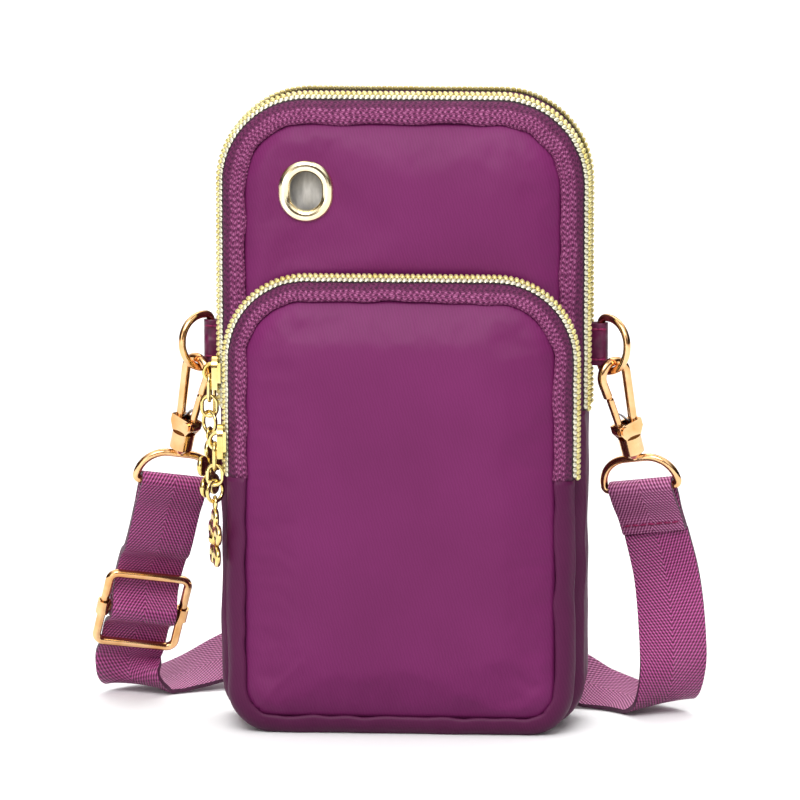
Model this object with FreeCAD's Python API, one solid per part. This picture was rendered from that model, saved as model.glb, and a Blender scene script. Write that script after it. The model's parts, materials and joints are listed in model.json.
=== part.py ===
import FreeCAD, Part
import math
import os

from FreeCAD import Placement, Rotation, Vector

# A crossbody phone pouch with three zipped compartments. The origin is on the floor under the
# middle of the main compartment, +Z is up and the front looks along -Y. Lengths in millimetres.

# Body outline shared by the main and the rear compartment
body_width = 102.0
body_height = 178.0
body_top_radius = 24.0
body_bottom_radius = 14.0
edge_roll = 7.0
seam_dip = 2.5

# Front pocket outline
pocket_margin = 2.5
pocket_top_drop = 50.0
pocket_top_radius = 22.0
pocket_bottom_radius = 13.0
pocket_roll = 5.5
pocket_dip = 4.5

# Depths, walls and panels
front_reach = 8.5
main_depth = 13.5
rear_depth = 12.5
pocket_depth = 9.0
panel_thickness = 2.0
panel_crown = 2.0
wall = 1.6

# Zips
main_chain_setback = 5.0
main_flat_behind = 2.5
rear_chain_setback = 6.5
pocket_chain_setback = 5.0
chain_gap = 1.0
chain_flat = 1.9
tooth_width = 1.2
tooth_height = 0.9
body_zip_height = 87.5
pocket_zip_height = 55.4
body_leaf_height = 48.0
pocket_leaf_height = 24.0
fold_gap = 0.4

# Zip sliders and their pulls
zip_slider_length = 9.5
zip_slider_width = 6.4
zip_slider_plate = 1.6
zip_slider_under = 1.2
zip_slider_web = 0.4
zip_slider_wing = 3.6
zip_slider_tail_share = 0.8
zip_slider_lip_share = 0.6
zip_slider_wing_share = 0.8
zip_end_margin = 5.0
bail_radius = 2.4
bail_wire = 0.6
link_wire = 0.55
link_width = 4.2
link_straight = 0.1
pull_link_length = 7.5
chain_link_length = 5.6
jump_ring_size = 6.0
pull_tab_length = 14.0
pull_tab_plate_share = 0.62
link_slack = 0.15
petal_count = 5
petal_radius = 2.95
petal_pitch = 5.75
petal_neck = 0.9
petal_dimple = 3.2
petal_dimple_depth = 0.4
flower_thickness = 1.7
flower_web_share = 0.7
flower_heart = 1.9
charm_eye_radius = 1.5
jump_ring_turn = -50.0
main_flower_turn = 74.0
pocket_flower_turn = 76.5

# Earphone eyelet
eyelet_inset = 24.2
eyelet_drop = 25.6
eyelet_hole_radius = 4.45
eyelet_flange = 3.2
eyelet_straight = 1.9
eyelet_lip = 1.2
eyelet_round_steps = 4
eyelet_barrel = 0.6
washer_thickness = 0.6
washer_flange = 2.4

# Side tabs and D-rings
tab_height = 12.0
tab_ribbon = 0.9
tab_reach = 4.0
ring_drop = 70.0
ring_wire = 1.05
ring_span = 15.2
ring_depth = 9.9
ring_near_radius = 2.0
ring_far_radius = 7.4
ring_yaw = 40.0
link_reach = 4.6

# Snap hooks and swivel eyes
hook_lean = Vector(-0.22, 0.262, -0.94)
hook_yaw = -40.0
hook_bar = 1.3
bow_radius = 3.0
nose_end = 6.5
leg_lean = 7.0
leg_end = 18.5
yoke_top = 16.0
yoke_bottom = 20.5
yoke_half_width = 4.0
yoke_half_depth = 2.2
yoke_foot = 2.6
collar_end = 25.4
collar_radius = 3.3
gate_radius = 1.05
gate_lap = 0.3
gate_pivot_z = 17.6
gate_lug = 1.9
gate_lug_half = 1.1
rivet_radius = 0.8
rivet_head = 1.3
rivet_head_height = 0.5
spring_thickness = 0.35
spring_half_width = 0.8
stud_radius = 1.4
stud_head_radius = 2.1
stud_head_height = 1.8
eye_wire = 1.1
eye_play = 0.4
eye_height = 9.3
eye_near_radius = 1.4
eye_far_radius = 8.0
eye_turn = 55.0
eye_drop = 27.5
clearance = 0.3
fit = 0.2

# Strap and its slider
strap_width = 19.0
strap_thickness = 1.2
strap_lean = Vector(-0.241, 0.36, -0.9)
layer_gap = 0.2
end_flap = 14.5
wrap_turn = 75.0
wrap_steps = 8
wrap_close_share = 0.85
wrap_near_share = 2.2
wrap_far_share = 4.5
adjust_drop = 44.0
adjust_lead = 9.6
adjust_end_share = 0.2
over_turn = 30.0
over_steps = 4
frame_wire = 1.2
frame_play = 0.8
frame_height = 23.3
frame_radius = 2.4
collar_wall = 0.5
collar_length = 4.2
fold_runs = 6
fold_length = 115.0
fold_radius = 6.2
fold_steps = 8
fold_clear = 11.5
left_entry = 37.0
run_steps = 4
floor_gap = 0.4

# Strap runs: points out from the pouch's side, back from its side seam and up, and how the width lies
right_run = [(23.5, 13.0, 31.0), (23.0, 13.5, 18.0), (17.0, 14.5, 7.5), (7.0, 17.0, 5.6), (-5.0, 21.0, 7.0)]
right_run_widths = [
    Vector(0.9, -0.1, 0), Vector(0.8, -0.4, -0.45), Vector(0.25, -0.85, -0.45), Vector(-0.1, -0.87, -0.48),
    Vector(0, -0.75, -0.65),
]
left_run = [(27.0, 34.0, 7.5), (18.5, 39.5, 6.0), (6.0, 45.5, 7.5), (-5.0, 51.5, 9.5)]
left_run_widths = [
    Vector(0.62, 0.72, 0.1), Vector(0.15, 0.92, 0.3), Vector(-0.05, 0.9, 0.42), Vector(0, 0.8, 0.6),
]
# Where each run turns into the folds: out from the end fold, back from the back face and, on the left, up
right_turn_in = (5.5, 7.5)
right_turn_in_width = Vector(0, -0.25, -0.97)
left_turn_in = (9.0, 39.5, 10.5)
left_turn_in_width = Vector(0, 0.4, 0.92)

# Named planes and places that follow from the dimensions
UP = Vector(0, 0, 1)
ALONG = Vector(0, 1, 0)
main_front = -front_reach
main_back = main_front + main_depth
rear_front = main_back + panel_thickness
rear_back = rear_front + rear_depth
front_face = main_front - panel_thickness
pocket_front = front_face - pocket_depth
back_face = rear_back + panel_thickness
pocket_face = pocket_front - panel_thickness
main_chain = main_front + main_chain_setback
rear_chain = rear_front + rear_chain_setback
pocket_chain = pocket_front + pocket_chain_setback
flat_half = chain_gap / 2 + chain_flat
pocket_width = body_width - 2 * pocket_margin
pocket_height = body_height - pocket_top_drop
body_zip_end = body_height - body_zip_height
pocket_zip_end = pocket_height - pocket_zip_height
body_fold = body_height - body_leaf_height
pocket_fold = pocket_height - pocket_leaf_height
eyelet_x = eyelet_inset - body_width / 2
eyelet_z = body_height - eyelet_drop
ring_centre_z = body_height - ring_drop
eye_span = strap_width + 2 * (eye_wire + eye_play)
frame_span = strap_width + 2 * (frame_wire + frame_play)
span = 4 * body_height

BODY = (body_width, body_height, body_top_radius, body_bottom_radius)
POCKET = (pocket_width, pocket_height, pocket_top_radius, pocket_bottom_radius)

nodes = {}


def outline(form, inset, y):
    """Rounded rectangle standing on the floor line, drawn in by inset, in the plane at y."""
    width, height, top_radius, bottom_radius = form
    half = width / 2 - inset
    high = height - inset
    top = top_radius - inset
    low = bottom_radius - inset
    corners = [
        (half - low, inset + low, low, -90),
        (half - top, high - top, top, 0),
        (top - half, high - top, top, 90),
        (low - half, inset + low, low, 180),
    ]
    arcs = []
    for x, z, radius, start in corners:
        turns = [math.radians(start + turn) for turn in (0, 45, 90)]
        arcs.append([Vector(x + radius * math.cos(a), y, z + radius * math.sin(a)) for a in turns])
    edges = []
    for arc, following in zip(arcs, arcs[1:] + arcs[:1]):
        edges.append(Part.Arc(*arc).toShape())
        edges.append(Part.makeLine(arc[2], following[0]))
    return Part.Wire(edges)


def loft(wires):
    return Part.makeLoft(wires, True, True)


def cut_block(shape, y_range, z_range):
    """The part of a shape that lies between two Y planes and two Z planes."""
    corner = Vector(-span / 2, y_range[0], z_range[0])
    block = Part.makeBox(span, y_range[1] - y_range[0], z_range[1] - z_range[0], corner)
    return shape.common(block)


def gather(shapes):
    """All solids of several shapes as one compound."""
    return Part.makeCompound([solid for shape in shapes for solid in shape.Solids])


def band(form, stations):
    """Hollow band round a compartment, through stations of (y, inset)."""
    outer = loft([outline(form, inset, y) for y, inset in stations])
    inner = loft([outline(form, inset + wall, y) for y, inset in stations])
    return outer.cut(inner)


def plate(form, inset, y_seam, y_face, crown):
    """Panel whose face is drawn in by its crown."""
    return loft([outline(form, inset, y_seam), outline(form, inset + crown, y_face)])


def tooth_band(form, y_low, y_high):
    """Plain half chain that stands proud of the tape."""
    outer = loft([outline(form, -tooth_height, y) for y in (y_low, y_high)])
    inner = loft([outline(form, 0, y) for y in (y_low, y_high)])
    return outer.cut(inner)


def frame_at(origin, x_axis, z_axis):
    """Placement with the given axes; Y completes a right-handed set."""
    return Placement(origin, Rotation(x_axis, z_axis.cross(x_axis), z_axis, "ZXY"))


def place(shape, placement):
    moved = shape.copy()
    moved.Placement = placement.multiply(moved.Placement)
    return moved


def mirrored(shape):
    return shape.mirror(Vector(0, 0, 0), Vector(1, 0, 0))


def rod(path, radius):
    """Round rod along a wire of lines and tangent arcs."""
    edge = path.Edges[0]
    start = edge.valueAt(edge.FirstParameter)
    tangent = edge.tangentAt(edge.FirstParameter)
    profile = Part.Wire(Part.makeCircle(radius, start, tangent))
    return path.makePipeShell([profile], True, True)


def wire_loop(width, height, near_radius, far_radius, radius):
    """Closed loop of round wire: a bar along X at z = 0 and rounded corners at height."""
    half = width / 2
    corners = [
        (half - near_radius, near_radius, near_radius, -90),
        (half - far_radius, height - far_radius, far_radius, 0),
        (far_radius - half, height - far_radius, far_radius, 90),
        (near_radius - half, near_radius, near_radius, 180),
    ]
    arcs = []
    for x, z, bend, start in corners:
        turns = [math.radians(start + turn) for turn in (0, 45, 90)]
        arcs.append([Vector(x + bend * math.cos(a), 0, z + bend * math.sin(a)) for a in turns])
    edges = [Part.makeLine(arcs[3][2], arcs[0][0])]
    for index, arc in enumerate(arcs):
        edges.append(Part.Arc(*arc).toShape())
        following = arcs[(index + 1) % 4][0]
        if index < 3 and arc[2].distanceToPoint(following) > 1e-6:
            edges.append(Part.makeLine(arc[2], following))
    return rod(Part.Wire(edges), radius)


def slot_wire(x, y, z, radius, straight):
    """Upright oval with round ends, in the plane at y."""
    low = Vector(x, y, z - straight / 2)
    high = Vector(x, y, z + straight / 2)
    across = Vector(radius, 0, 0)
    rise = Vector(0, 0, radius)
    edges = [
        Part.Arc(low - across, low - rise, low + across).toShape(),
        Part.makeLine(low + across, high + across),
        Part.Arc(high + across, high + rise, high - across).toShape(),
        Part.makeLine(high - across, low - across),
    ]
    return Part.Wire(edges)


def slot_prism(x, z, radius, straight, y_low, y_high):
    wire = slot_wire(x, y_low, z, radius, straight)
    return Part.Face(wire).extrude(Vector(0, y_high - y_low, 0))


def compartment(name, form, stations, chain, zip_end, fold, leaf_side):
    """Gusset, zip tapes and half chains of one compartment; the leaf side opens."""
    ring = band(form, stations)
    first, last = stations[0][0], stations[-1][0]
    top = form[1] + tooth_height + 1
    tapes = [(first, chain - chain_gap / 2), (chain + chain_gap / 2, last)]
    front_teeth = (tapes[0][1] - tooth_width, tapes[0][1])
    back_teeth = (tapes[1][0], tapes[1][0] + tooth_width)
    teeth = [front_teeth, back_teeth]
    leaf, fixed = (0, 1) if leaf_side < 0 else (1, 0)
    strips = [tooth_band(form, *teeth[side]) for side in (0, 1)]

    nodes[name + "_gusset"] = cut_block(ring, (first, last), (-1, zip_end))
    nodes[name + "_tape_fixed"] = gather([
        cut_block(ring, tapes[fixed], (zip_end, top)),
        cut_block(ring, tapes[leaf], (zip_end, fold)),
    ])
    nodes[name + "_tape_leaf"] = cut_block(ring, tapes[leaf], (fold + fold_gap, top))
    nodes[name + "_teeth_fixed"] = gather([
        cut_block(strips[fixed], teeth[fixed], (zip_end, top)),
        cut_block(strips[leaf], teeth[leaf], (zip_end, fold)),
    ])
    nodes[name + "_teeth_leaf"] = cut_block(strips[leaf], teeth[leaf], (fold + fold_gap, top))


def split_panel(name, shape, fold):
    """Panel cut at its fold line into a fixed lower part and an opening upper part."""
    y_range = (-span / 2, span / 2)
    nodes[name + "_lower"] = cut_block(shape, y_range, (-1, fold))
    nodes[name + "_upper"] = cut_block(shape, y_range, (fold + fold_gap, span))


def zip_slider(form, chain, zip_end):
    """Zip slider on the left straight of a chain, with a bail for its pull."""
    side = -form[0] / 2
    middle = zip_end + zip_end_margin + zip_slider_length / 2
    half_length = zip_slider_length / 2
    half_width = zip_slider_width / 2
    over = tooth_height + clearance
    outside = over + zip_slider_plate

    def block(n_range, w_half, t_half, w_offset=0.0):
        corner = Vector(side - n_range[1], chain + w_offset - w_half, middle - t_half)
        return Part.makeBox(n_range[1] - n_range[0], 2 * w_half, 2 * t_half, corner)

    tail = half_width * zip_slider_tail_share
    x = side - over
    nose = Vector(x, chain, middle + half_length)
    shoulders = [Vector(x, chain + w, middle + half_length - half_width) for w in (-half_width, half_width)]
    tails = [Vector(x, chain + w, middle - half_length) for w in (-tail, tail)]
    top_face = Part.Wire([
        Part.makeLine(tails[1], tails[0]),
        Part.makeLine(tails[0], shoulders[0]),
        Part.Arc(shoulders[0], nose, shoulders[1]).toShape(),
        Part.makeLine(shoulders[1], tails[1]),
    ])
    body = Part.Face(top_face).extrude(Vector(-zip_slider_plate, 0, 0))
    lip_inner = chain_gap / 2 + tooth_width + clearance
    lip_half = (tail - lip_inner) / 2
    for w in (-1, 1):
        lip_middle = w * (lip_inner + lip_half)
        lip = block((clearance, over), lip_half, half_length * zip_slider_lip_share, lip_middle)
        body = body.fuse(lip)
    under = -(wall + clearance)
    wing = under - zip_slider_under
    body = body.fuse(block((under, over), zip_slider_web / 2, half_length / 2))
    body = body.fuse(block((wing, under), zip_slider_wing / 2, half_length * zip_slider_wing_share))
    centre = Vector(side - outside, chain, middle)
    foot = Part.Face(Part.Wire(Part.makeCircle(bail_wire, centre - UP * bail_radius, Vector(1, 0, 0))))
    body = body.fuse(foot.revolve(centre, ALONG, 180))
    return body.removeSplitter(), centre


def link_loop(width, length):
    """Oval chain link hanging from z = 0 in the XZ plane, sized at the wire's middle line."""
    bend = (width - link_straight) / 2
    loop = wire_loop(width, length, bend, bend, link_wire)
    return place(loop, Placement(Vector(0, 0, -length), Rotation()))


def turned(shape, angle, point):
    """A hanging piece turned about the vertical and moved to its hanging point."""
    return place(shape, Placement(point, Rotation(UP, angle)))


def petal(spot, out):
    """Round-edged petal with a dimple in each face, and its neck towards the flower's middle."""
    half = flower_thickness / 2
    flat = petal_radius - half
    body = Part.makeCylinder(flat, flower_thickness, spot - ALONG * half, ALONG)
    body = body.fuse(Part.makeTorus(flat, half, spot, ALONG))
    web = half * flower_web_share
    side = out.cross(ALONG)
    inner = spot - out * petal_pitch - ALONG * web
    outer = spot - ALONG * web
    corners = [inner + side * petal_neck, outer + side * flat, outer - side * flat, inner - side * petal_neck]
    body = body.fuse(Part.Face(Part.makePolygon(corners + corners[:1])).extrude(ALONG * (2 * web)))
    for way in (-1, 1):
        centre = spot + ALONG * (way * (half + petal_dimple - petal_dimple_depth))
        body = body.cut(Part.makeSphere(petal_dimple, centre))
    return body


def flower_charm():
    """Five-petal flower that hangs from its eye at z = 0, in the XZ plane."""
    reach = charm_eye_radius + link_wire
    middle = Vector(0, 0, -(reach + charm_eye_radius + petal_pitch + petal_radius - link_wire))
    flower = Part.makeSphere(flower_heart, middle)
    for index in range(petal_count):
        angle = math.radians(90 + 360 * index / petal_count)
        out = Vector(math.cos(angle), 0, math.sin(angle))
        flower = flower.fuse(petal(middle + out * petal_pitch, out))
    eye = Part.makeTorus(charm_eye_radius, link_wire, Vector(0, 0, -charm_eye_radius), ALONG)
    return flower.fuse(eye).removeSplitter()


def charm(name, start, flower_turn, way):
    """Pull link, chain link, jump ring and flower, each hung from the one above.

    The jump ring and the flower are turned about the vertical, one way or the other.
    """
    step = 2 * link_wire + link_slack
    point = start
    nodes[name + "_pull_link"] = turned(link_loop(link_width, pull_link_length), 90, point)
    point = point - UP * (pull_link_length - step)
    nodes[name + "_chain_link"] = turned(link_loop(link_width, chain_link_length), 0, point)
    point = point - UP * (chain_link_length - step)
    ring = link_loop(jump_ring_size, jump_ring_size)
    nodes[name + "_jump_ring"] = turned(ring, way * jump_ring_turn, point)
    point = point - UP * (jump_ring_size - step)
    nodes[name + "_flower"] = turned(flower_charm(), way * flower_turn, point)


def ribbon(points, widths, start=None, end=None):
    """Webbing along a line of points: a rectangle across each, lifted clear of the floor.

    The first and last rectangle are square to the start and end directions, where given.
    """
    last = len(points) - 1
    wires = []
    for index, (point, width) in enumerate(zip(points, widths)):
        tangent = points[min(index + 1, last)] - points[max(index - 1, 0)]
        if index == 0 and start:
            tangent = Vector(start)
        if index == last and end:
            tangent = Vector(end)
        tangent.normalize()
        across = width - tangent * width.dot(tangent)
        across.normalize()
        side = across * (strap_width / 2)
        face = tangent.cross(across) * (strap_thickness / 2)
        low = point.z - abs(side.z) - abs(face.z)
        lift = UP * max(0.0, floor_gap - low)
        middle = point + lift
        corners = [middle + side + face, middle - side + face, middle - side - face, middle + side - face]
        wires.append(Part.makePolygon(corners + corners[:1]))
    return loft(wires)


def spline(knots, steps):
    """Points on a Catmull-Rom curve through the knots, ends included."""
    padded = [knots[0] * 2 - knots[1]] + knots + [knots[-1] * 2 - knots[-2]]
    points = []
    for a, b, c, d in zip(padded, padded[1:], padded[2:], padded[3:]):
        for step in range(steps):
            t = step / steps
            points.append((b * 2 + (c - a) * t + (a * 2 - b * 5 + c * 4 - d) * t ** 2
                           + (b * 3 - a - c * 3 + d) * t ** 3) * 0.5)
    return points + [knots[-1]]


def bar_wrap(centre, radius, start, end, steps):
    """Points of a turn round a bar, in (drop, front) coordinates."""
    points = []
    for step in range(steps + 1):
        angle = math.radians(start + (end - start) * step / steps)
        points.append((centre + radius * math.cos(angle), radius * math.sin(angle)))
    return points


# Bag shell
main_stations = [
    (main_front, edge_roll), (main_chain - flat_half, 0), (main_chain + flat_half + main_flat_behind, 0),
    (main_back, seam_dip),
]
rear_stations = [
    (rear_front, seam_dip), (rear_chain - flat_half, 0), (rear_chain + flat_half, 0), (rear_back, edge_roll),
]
pocket_stations = [
    (pocket_front, pocket_roll), (pocket_chain - flat_half, 0), (pocket_chain + flat_half, 0),
    (front_face, pocket_dip),
]
compartment("main", BODY, main_stations, main_chain, body_zip_end, body_fold, -1)
compartment("rear", BODY, rear_stations, rear_chain, body_zip_end, body_fold, 1)
compartment("pocket", POCKET, pocket_stations, pocket_chain, pocket_zip_end, pocket_fold, -1)

nodes["middle_panel"] = plate(BODY, seam_dip, main_back, rear_front, 0)
split_panel("back_panel", plate(BODY, edge_roll, rear_back, back_face, panel_crown), body_fold)
split_panel("pocket_panel", plate(POCKET, pocket_roll, pocket_front, pocket_face, panel_crown), pocket_fold)
port_radius = eyelet_hole_radius + eyelet_barrel
port_cut = slot_prism(eyelet_x, eyelet_z, port_radius, eyelet_straight, front_face - 1, main_front + 1)
front_panel = plate(BODY, edge_roll, front_face, main_front, 0).cut(port_cut)
split_panel("front_panel", front_panel, body_fold)

# Earphone eyelet: a domed flange with a barrel, rolled over a washer inside
barrel_end = main_front + washer_thickness
half_flange = eyelet_flange / 2
flange_middle = eyelet_hole_radius + half_flange
round_turns = [math.pi / 2 * step / eyelet_round_steps for step in range(eyelet_round_steps + 1)]


def flange_wires(way):
    """Ovals over the outer (1) or the inner (-1) half of the flange's round."""
    wires = []
    for turn in round_turns:
        radius = flange_middle + way * half_flange * math.cos(turn)
        y = front_face - eyelet_lip * math.sin(turn)
        wires.append(slot_wire(eyelet_x, y, eyelet_z, radius, eyelet_straight))
    return wires


eyelet = loft(flange_wires(1)).cut(loft(flange_wires(-1)))
barrel = slot_prism(eyelet_x, eyelet_z, port_radius, eyelet_straight, front_face, barrel_end)
bore = slot_prism(eyelet_x, eyelet_z, eyelet_hole_radius, eyelet_straight, front_face - 2 * eyelet_lip,
                  barrel_end + 1)
nodes["eyelet_ring"] = eyelet.fuse(barrel).cut(bore).removeSplitter()
washer = slot_prism(eyelet_x, eyelet_z, port_radius + washer_flange, eyelet_straight, main_front, barrel_end)
nodes["eyelet_washer"] = washer.cut(port_cut.fuse(barrel))

# Zip sliders and what hangs on them
bar_out = clearance + link_wire
bail_room = bail_radius - bail_wire - link_wire - fit
bar_sink = math.sqrt(bail_room ** 2 - bar_out ** 2)
for zip_name, form, chain, zip_end, flower_turn, way in (
    ("main", BODY, main_chain, body_zip_end, main_flower_turn, 1),
    ("pocket", POCKET, pocket_chain, pocket_zip_end, pocket_flower_turn, -1),
):
    nodes[zip_name + "_zip_slider"], bail = zip_slider(form, chain, zip_end)
    charm(zip_name, bail - Vector(bar_out, 0, bar_sink), flower_turn, way)

nodes["rear_zip_slider"], bail = zip_slider(BODY, rear_chain, body_zip_end)
tab_point = bail - Vector(bar_out, 0, bar_sink)
pull_tab = link_loop(link_width, pull_tab_length)
tab_plate = Part.makeBox(link_width, 2 * link_wire, pull_tab_length * pull_tab_plate_share,
                         Vector(-link_width / 2, -link_wire, -pull_tab_length))
nodes["rear_pull_tab"] = turned(pull_tab.fuse(tab_plate).removeSplitter(), 90, tab_point)

# Side hardware, modelled on the left and mirrored to the right
side = -body_width / 2
seam_y = (main_back + rear_front) / 2
bar_axis = Vector(side - tab_reach, seam_y, ring_centre_z)
loop_inner = ring_wire + fit
loop_outer = loop_inner + tab_ribbon
tab_foot = Vector(0, 0, -tab_height / 2)
neck_start = side + seam_dip
neck = Part.makeBox(neck_start - bar_axis.x, 2 * tab_ribbon, tab_height,
                    Vector(bar_axis.x, seam_y - tab_ribbon, ring_centre_z - tab_height / 2))
tab = neck.fuse(Part.makeCylinder(loop_outer, tab_height, bar_axis + tab_foot, UP))
tab = tab.cut(Part.makeCylinder(loop_inner, tab_height + 2, bar_axis + tab_foot - UP, UP)).removeSplitter()

yaw = math.radians(ring_yaw)
ring_out = Vector(-math.cos(yaw), -math.sin(yaw), 0)
ring = wire_loop(ring_span, ring_depth, ring_near_radius, ring_far_radius, ring_wire)
d_ring = place(ring, frame_at(bar_axis, UP, ring_out))

bend_start = ring_depth - ring_far_radius
link_rise = ring_far_radius - math.sqrt(ring_far_radius ** 2 - (link_reach - bend_start) ** 2)
link_point = bar_axis + ring_out * link_reach - UP * (ring_span / 2 - link_rise)
hook_up = -hook_lean
hook_up.normalize()
turn = math.radians(hook_yaw)
gate_side = Vector(math.cos(turn), math.sin(turn), 0)
gate_side = gate_side - hook_up * gate_side.dot(hook_up)
gate_side.normalize()
hook_frame = frame_at(link_point, gate_side, hook_up)


lean = math.radians(leg_lean)
bow_middle = ring_wire + clearance - bow_radius
bow_line = bow_radius + hook_bar


def leg_x(z):
    """Distance of both legs' middle lines from the hook's middle, at a height below the bow."""
    return bow_line * math.cos(lean) + (z - bow_middle + bow_line * math.sin(lean)) * math.tan(lean)


gate_pivot = Vector(leg_x(-gate_pivot_z), 0, -gate_pivot_z)
tip_z = -(nose_end + fit + gate_radius)
gate_end = Vector(leg_x(tip_z) - gate_lap, 0, tip_z)
gate_line = gate_end - gate_pivot


def hook_body():
    """Bow with two legs that draw together, yoke and collar of a snap hook, in the hook's own frame."""
    bend_z = bow_middle - bow_line * math.sin(lean)
    bend_x = leg_x(bend_z)
    path = Part.Wire([
        Part.makeLine(Vector(-leg_x(-leg_end), 0, -leg_end), Vector(-bend_x, 0, bend_z)),
        Part.Arc(Vector(-bend_x, 0, bend_z), Vector(0, 0, bow_middle + bow_line),
                 Vector(bend_x, 0, bend_z)).toShape(),
        Part.makeLine(Vector(bend_x, 0, bend_z), Vector(leg_x(-nose_end), 0, -nose_end)),
    ])
    body = rod(path, hook_bar)
    waist = -(yoke_top + yoke_bottom) / 2
    corners = [
        Vector(-yoke_half_width, -yoke_half_depth, -yoke_top),
        Vector(-yoke_half_width, -yoke_half_depth, waist),
        Vector(-yoke_foot, -yoke_half_depth, -yoke_bottom),
        Vector(yoke_foot, -yoke_half_depth, -yoke_bottom),
        Vector(yoke_half_width, -yoke_half_depth, waist),
        Vector(yoke_half_width, -yoke_half_depth, -yoke_top),
    ]
    yoke = Part.Face(Part.makePolygon(corners + corners[:1])).extrude(ALONG * (2 * yoke_half_depth))
    shoulder = Vector(0, 0, -collar_end)
    body = body.fuse(yoke)
    body = body.fuse(Part.makeCylinder(collar_radius, collar_end - yoke_bottom, shoulder, UP))
    slot_half = gate_lug_half + fit
    slot_room = gate_lug + clearance
    slot = Part.makeBox(2 * yoke_half_width, 2 * slot_half, yoke_bottom - yoke_top,
                        gate_pivot - Vector(slot_room, slot_half, slot_room))
    body = body.cut(slot)
    pin_start = gate_pivot - ALONG * (2 * yoke_half_depth)
    body = body.cut(Part.makeCylinder(rivet_radius, 4 * yoke_half_depth, pin_start, ALONG))
    room_low = collar_end - 2 * clearance - fit
    cavity = Part.makeCylinder(stud_head_radius + fit, stud_head_height + 2 * fit,
                               Vector(0, 0, -room_low + clearance), UP)
    hole = Part.makeCylinder(stud_radius + fit, collar_end, Vector(0, 0, -2 * collar_end + room_low / 2), UP)
    return body.cut(cavity).cut(hole).removeSplitter()


def gate():
    """Gate lever with its pivot lug and a rounded tip that closes against the nose."""
    lever = Part.makeCylinder(gate_radius, gate_line.Length, gate_pivot, gate_line)
    lever = lever.fuse(Part.makeSphere(gate_radius, gate_end))
    lug = Part.makeCylinder(gate_lug, 2 * gate_lug_half, gate_pivot - ALONG * gate_lug_half, ALONG)
    bore = rivet_radius + fit / 2
    hole = Part.makeCylinder(bore, 4 * gate_lug_half, gate_pivot - ALONG * 2 * gate_lug_half, ALONG)
    return lever.fuse(lug).cut(hole).removeSplitter()


def gate_rivet():
    """Rivet through the yoke and the gate, with a head on each side."""
    start = gate_pivot - ALONG * yoke_half_depth
    rivet = Part.makeCylinder(rivet_radius, 2 * yoke_half_depth, start, ALONG)
    for way in (-1, 1):
        foot = gate_pivot + ALONG * (way * yoke_half_depth)
        rivet = rivet.fuse(Part.makeCylinder(rivet_head, rivet_head_height, foot, ALONG * way))
    return rivet.removeSplitter()


def gate_spring():
    """Leaf spring that stands on the yoke and presses the gate out."""
    foot_x = hook_bar + fit - leg_x(-yoke_top)
    lean_z = -(yoke_top - 3 * gate_radius)
    share = (lean_z - gate_pivot.z) / gate_line.z
    lean_x = gate_pivot.x + gate_line.x * share - gate_radius * gate_line.Length / gate_line.z - clearance
    profile = [
        Vector(foot_x, -spring_half_width, -yoke_top),
        Vector(foot_x + spring_thickness, -spring_half_width, -yoke_top),
        Vector(lean_x, -spring_half_width, lean_z),
        Vector(lean_x - spring_thickness, -spring_half_width, lean_z),
    ]
    return Part.Face(Part.makePolygon(profile + profile[:1])).extrude(ALONG * (2 * spring_half_width))


def swivel_eye():
    """Strap eye with its collar and the headed stud that turns in the hook."""
    loop = wire_loop(eye_span, eye_height, eye_near_radius, eye_far_radius, eye_wire)
    low = -eye_drop - eye_height
    eye = place(loop, Placement(Vector(0, 0, low), Rotation(UP, eye_turn)))
    top = -eye_drop
    head_foot = -(collar_end - 2 * clearance - fit) + clearance + fit
    eye = eye.fuse(Part.makeCylinder(stud_radius, head_foot - top, Vector(0, 0, top), UP))
    eye = eye.fuse(Part.makeCylinder(stud_head_radius, stud_head_height, Vector(0, 0, head_foot), UP))
    boss_height = eye_drop - collar_end - clearance
    eye = eye.fuse(Part.makeCone(eye_wire, 2 * stud_radius, boss_height, Vector(0, 0, top), UP))
    return eye.removeSplitter()


hardware = {
    "tab": tab,
    "d_ring": d_ring,
    "hook_body": place(hook_body(), hook_frame),
    "gate": place(gate(), hook_frame),
    "gate_rivet": place(gate_rivet(), hook_frame),
    "gate_spring": place(gate_spring(), hook_frame),
    "eye": place(swivel_eye(), hook_frame),
}
for piece, shape in hardware.items():
    nodes["left_" + piece] = shape
    nodes["right_" + piece] = mirrored(shape)

# Strap: frames at the two eyes
eye_bar = hook_frame.multVec(Vector(0, 0, -eye_drop - eye_height))
eye_way = math.radians(eye_turn)
left_across = hook_frame.Rotation.multVec(Vector(math.cos(eye_way), math.sin(eye_way), 0))
left_drop = strap_lean - left_across * strap_lean.dot(left_across)
left_drop.normalize()
left_front = left_drop.cross(left_across)
if left_front.y > 0:
    left_front = -left_front


def flip(vector):
    return Vector(-vector.x, vector.y, vector.z)


def lay(profile, origin, drop, front):
    return [origin + drop * s + front * q for s, q in profile]


half_layer = (strap_thickness + layer_gap) / 2
eye_wrap = eye_wire + layer_gap + strap_thickness / 2
close = wrap_close_share * eye_wrap
near = wrap_near_share * eye_wrap
far = wrap_far_share * eye_wrap

# Sewn end loop round the right eye
right_origin = flip(eye_bar)
right_drop = flip(left_drop)
right_front = flip(left_front)
right_across = -flip(left_across)
end_profile = [(end_flap, -half_layer), (far, -half_layer), (near, -close)]
end_profile += bar_wrap(0, eye_wrap, -wrap_turn, wrap_turn - 360, wrap_steps)
end_profile += [(near, close), (far, half_layer), (end_flap, half_layer)]
end_points = lay(end_profile, right_origin, right_drop, right_front)
nodes["strap_end_loop"] = ribbon(end_points, [right_across] * len(end_points))

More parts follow.
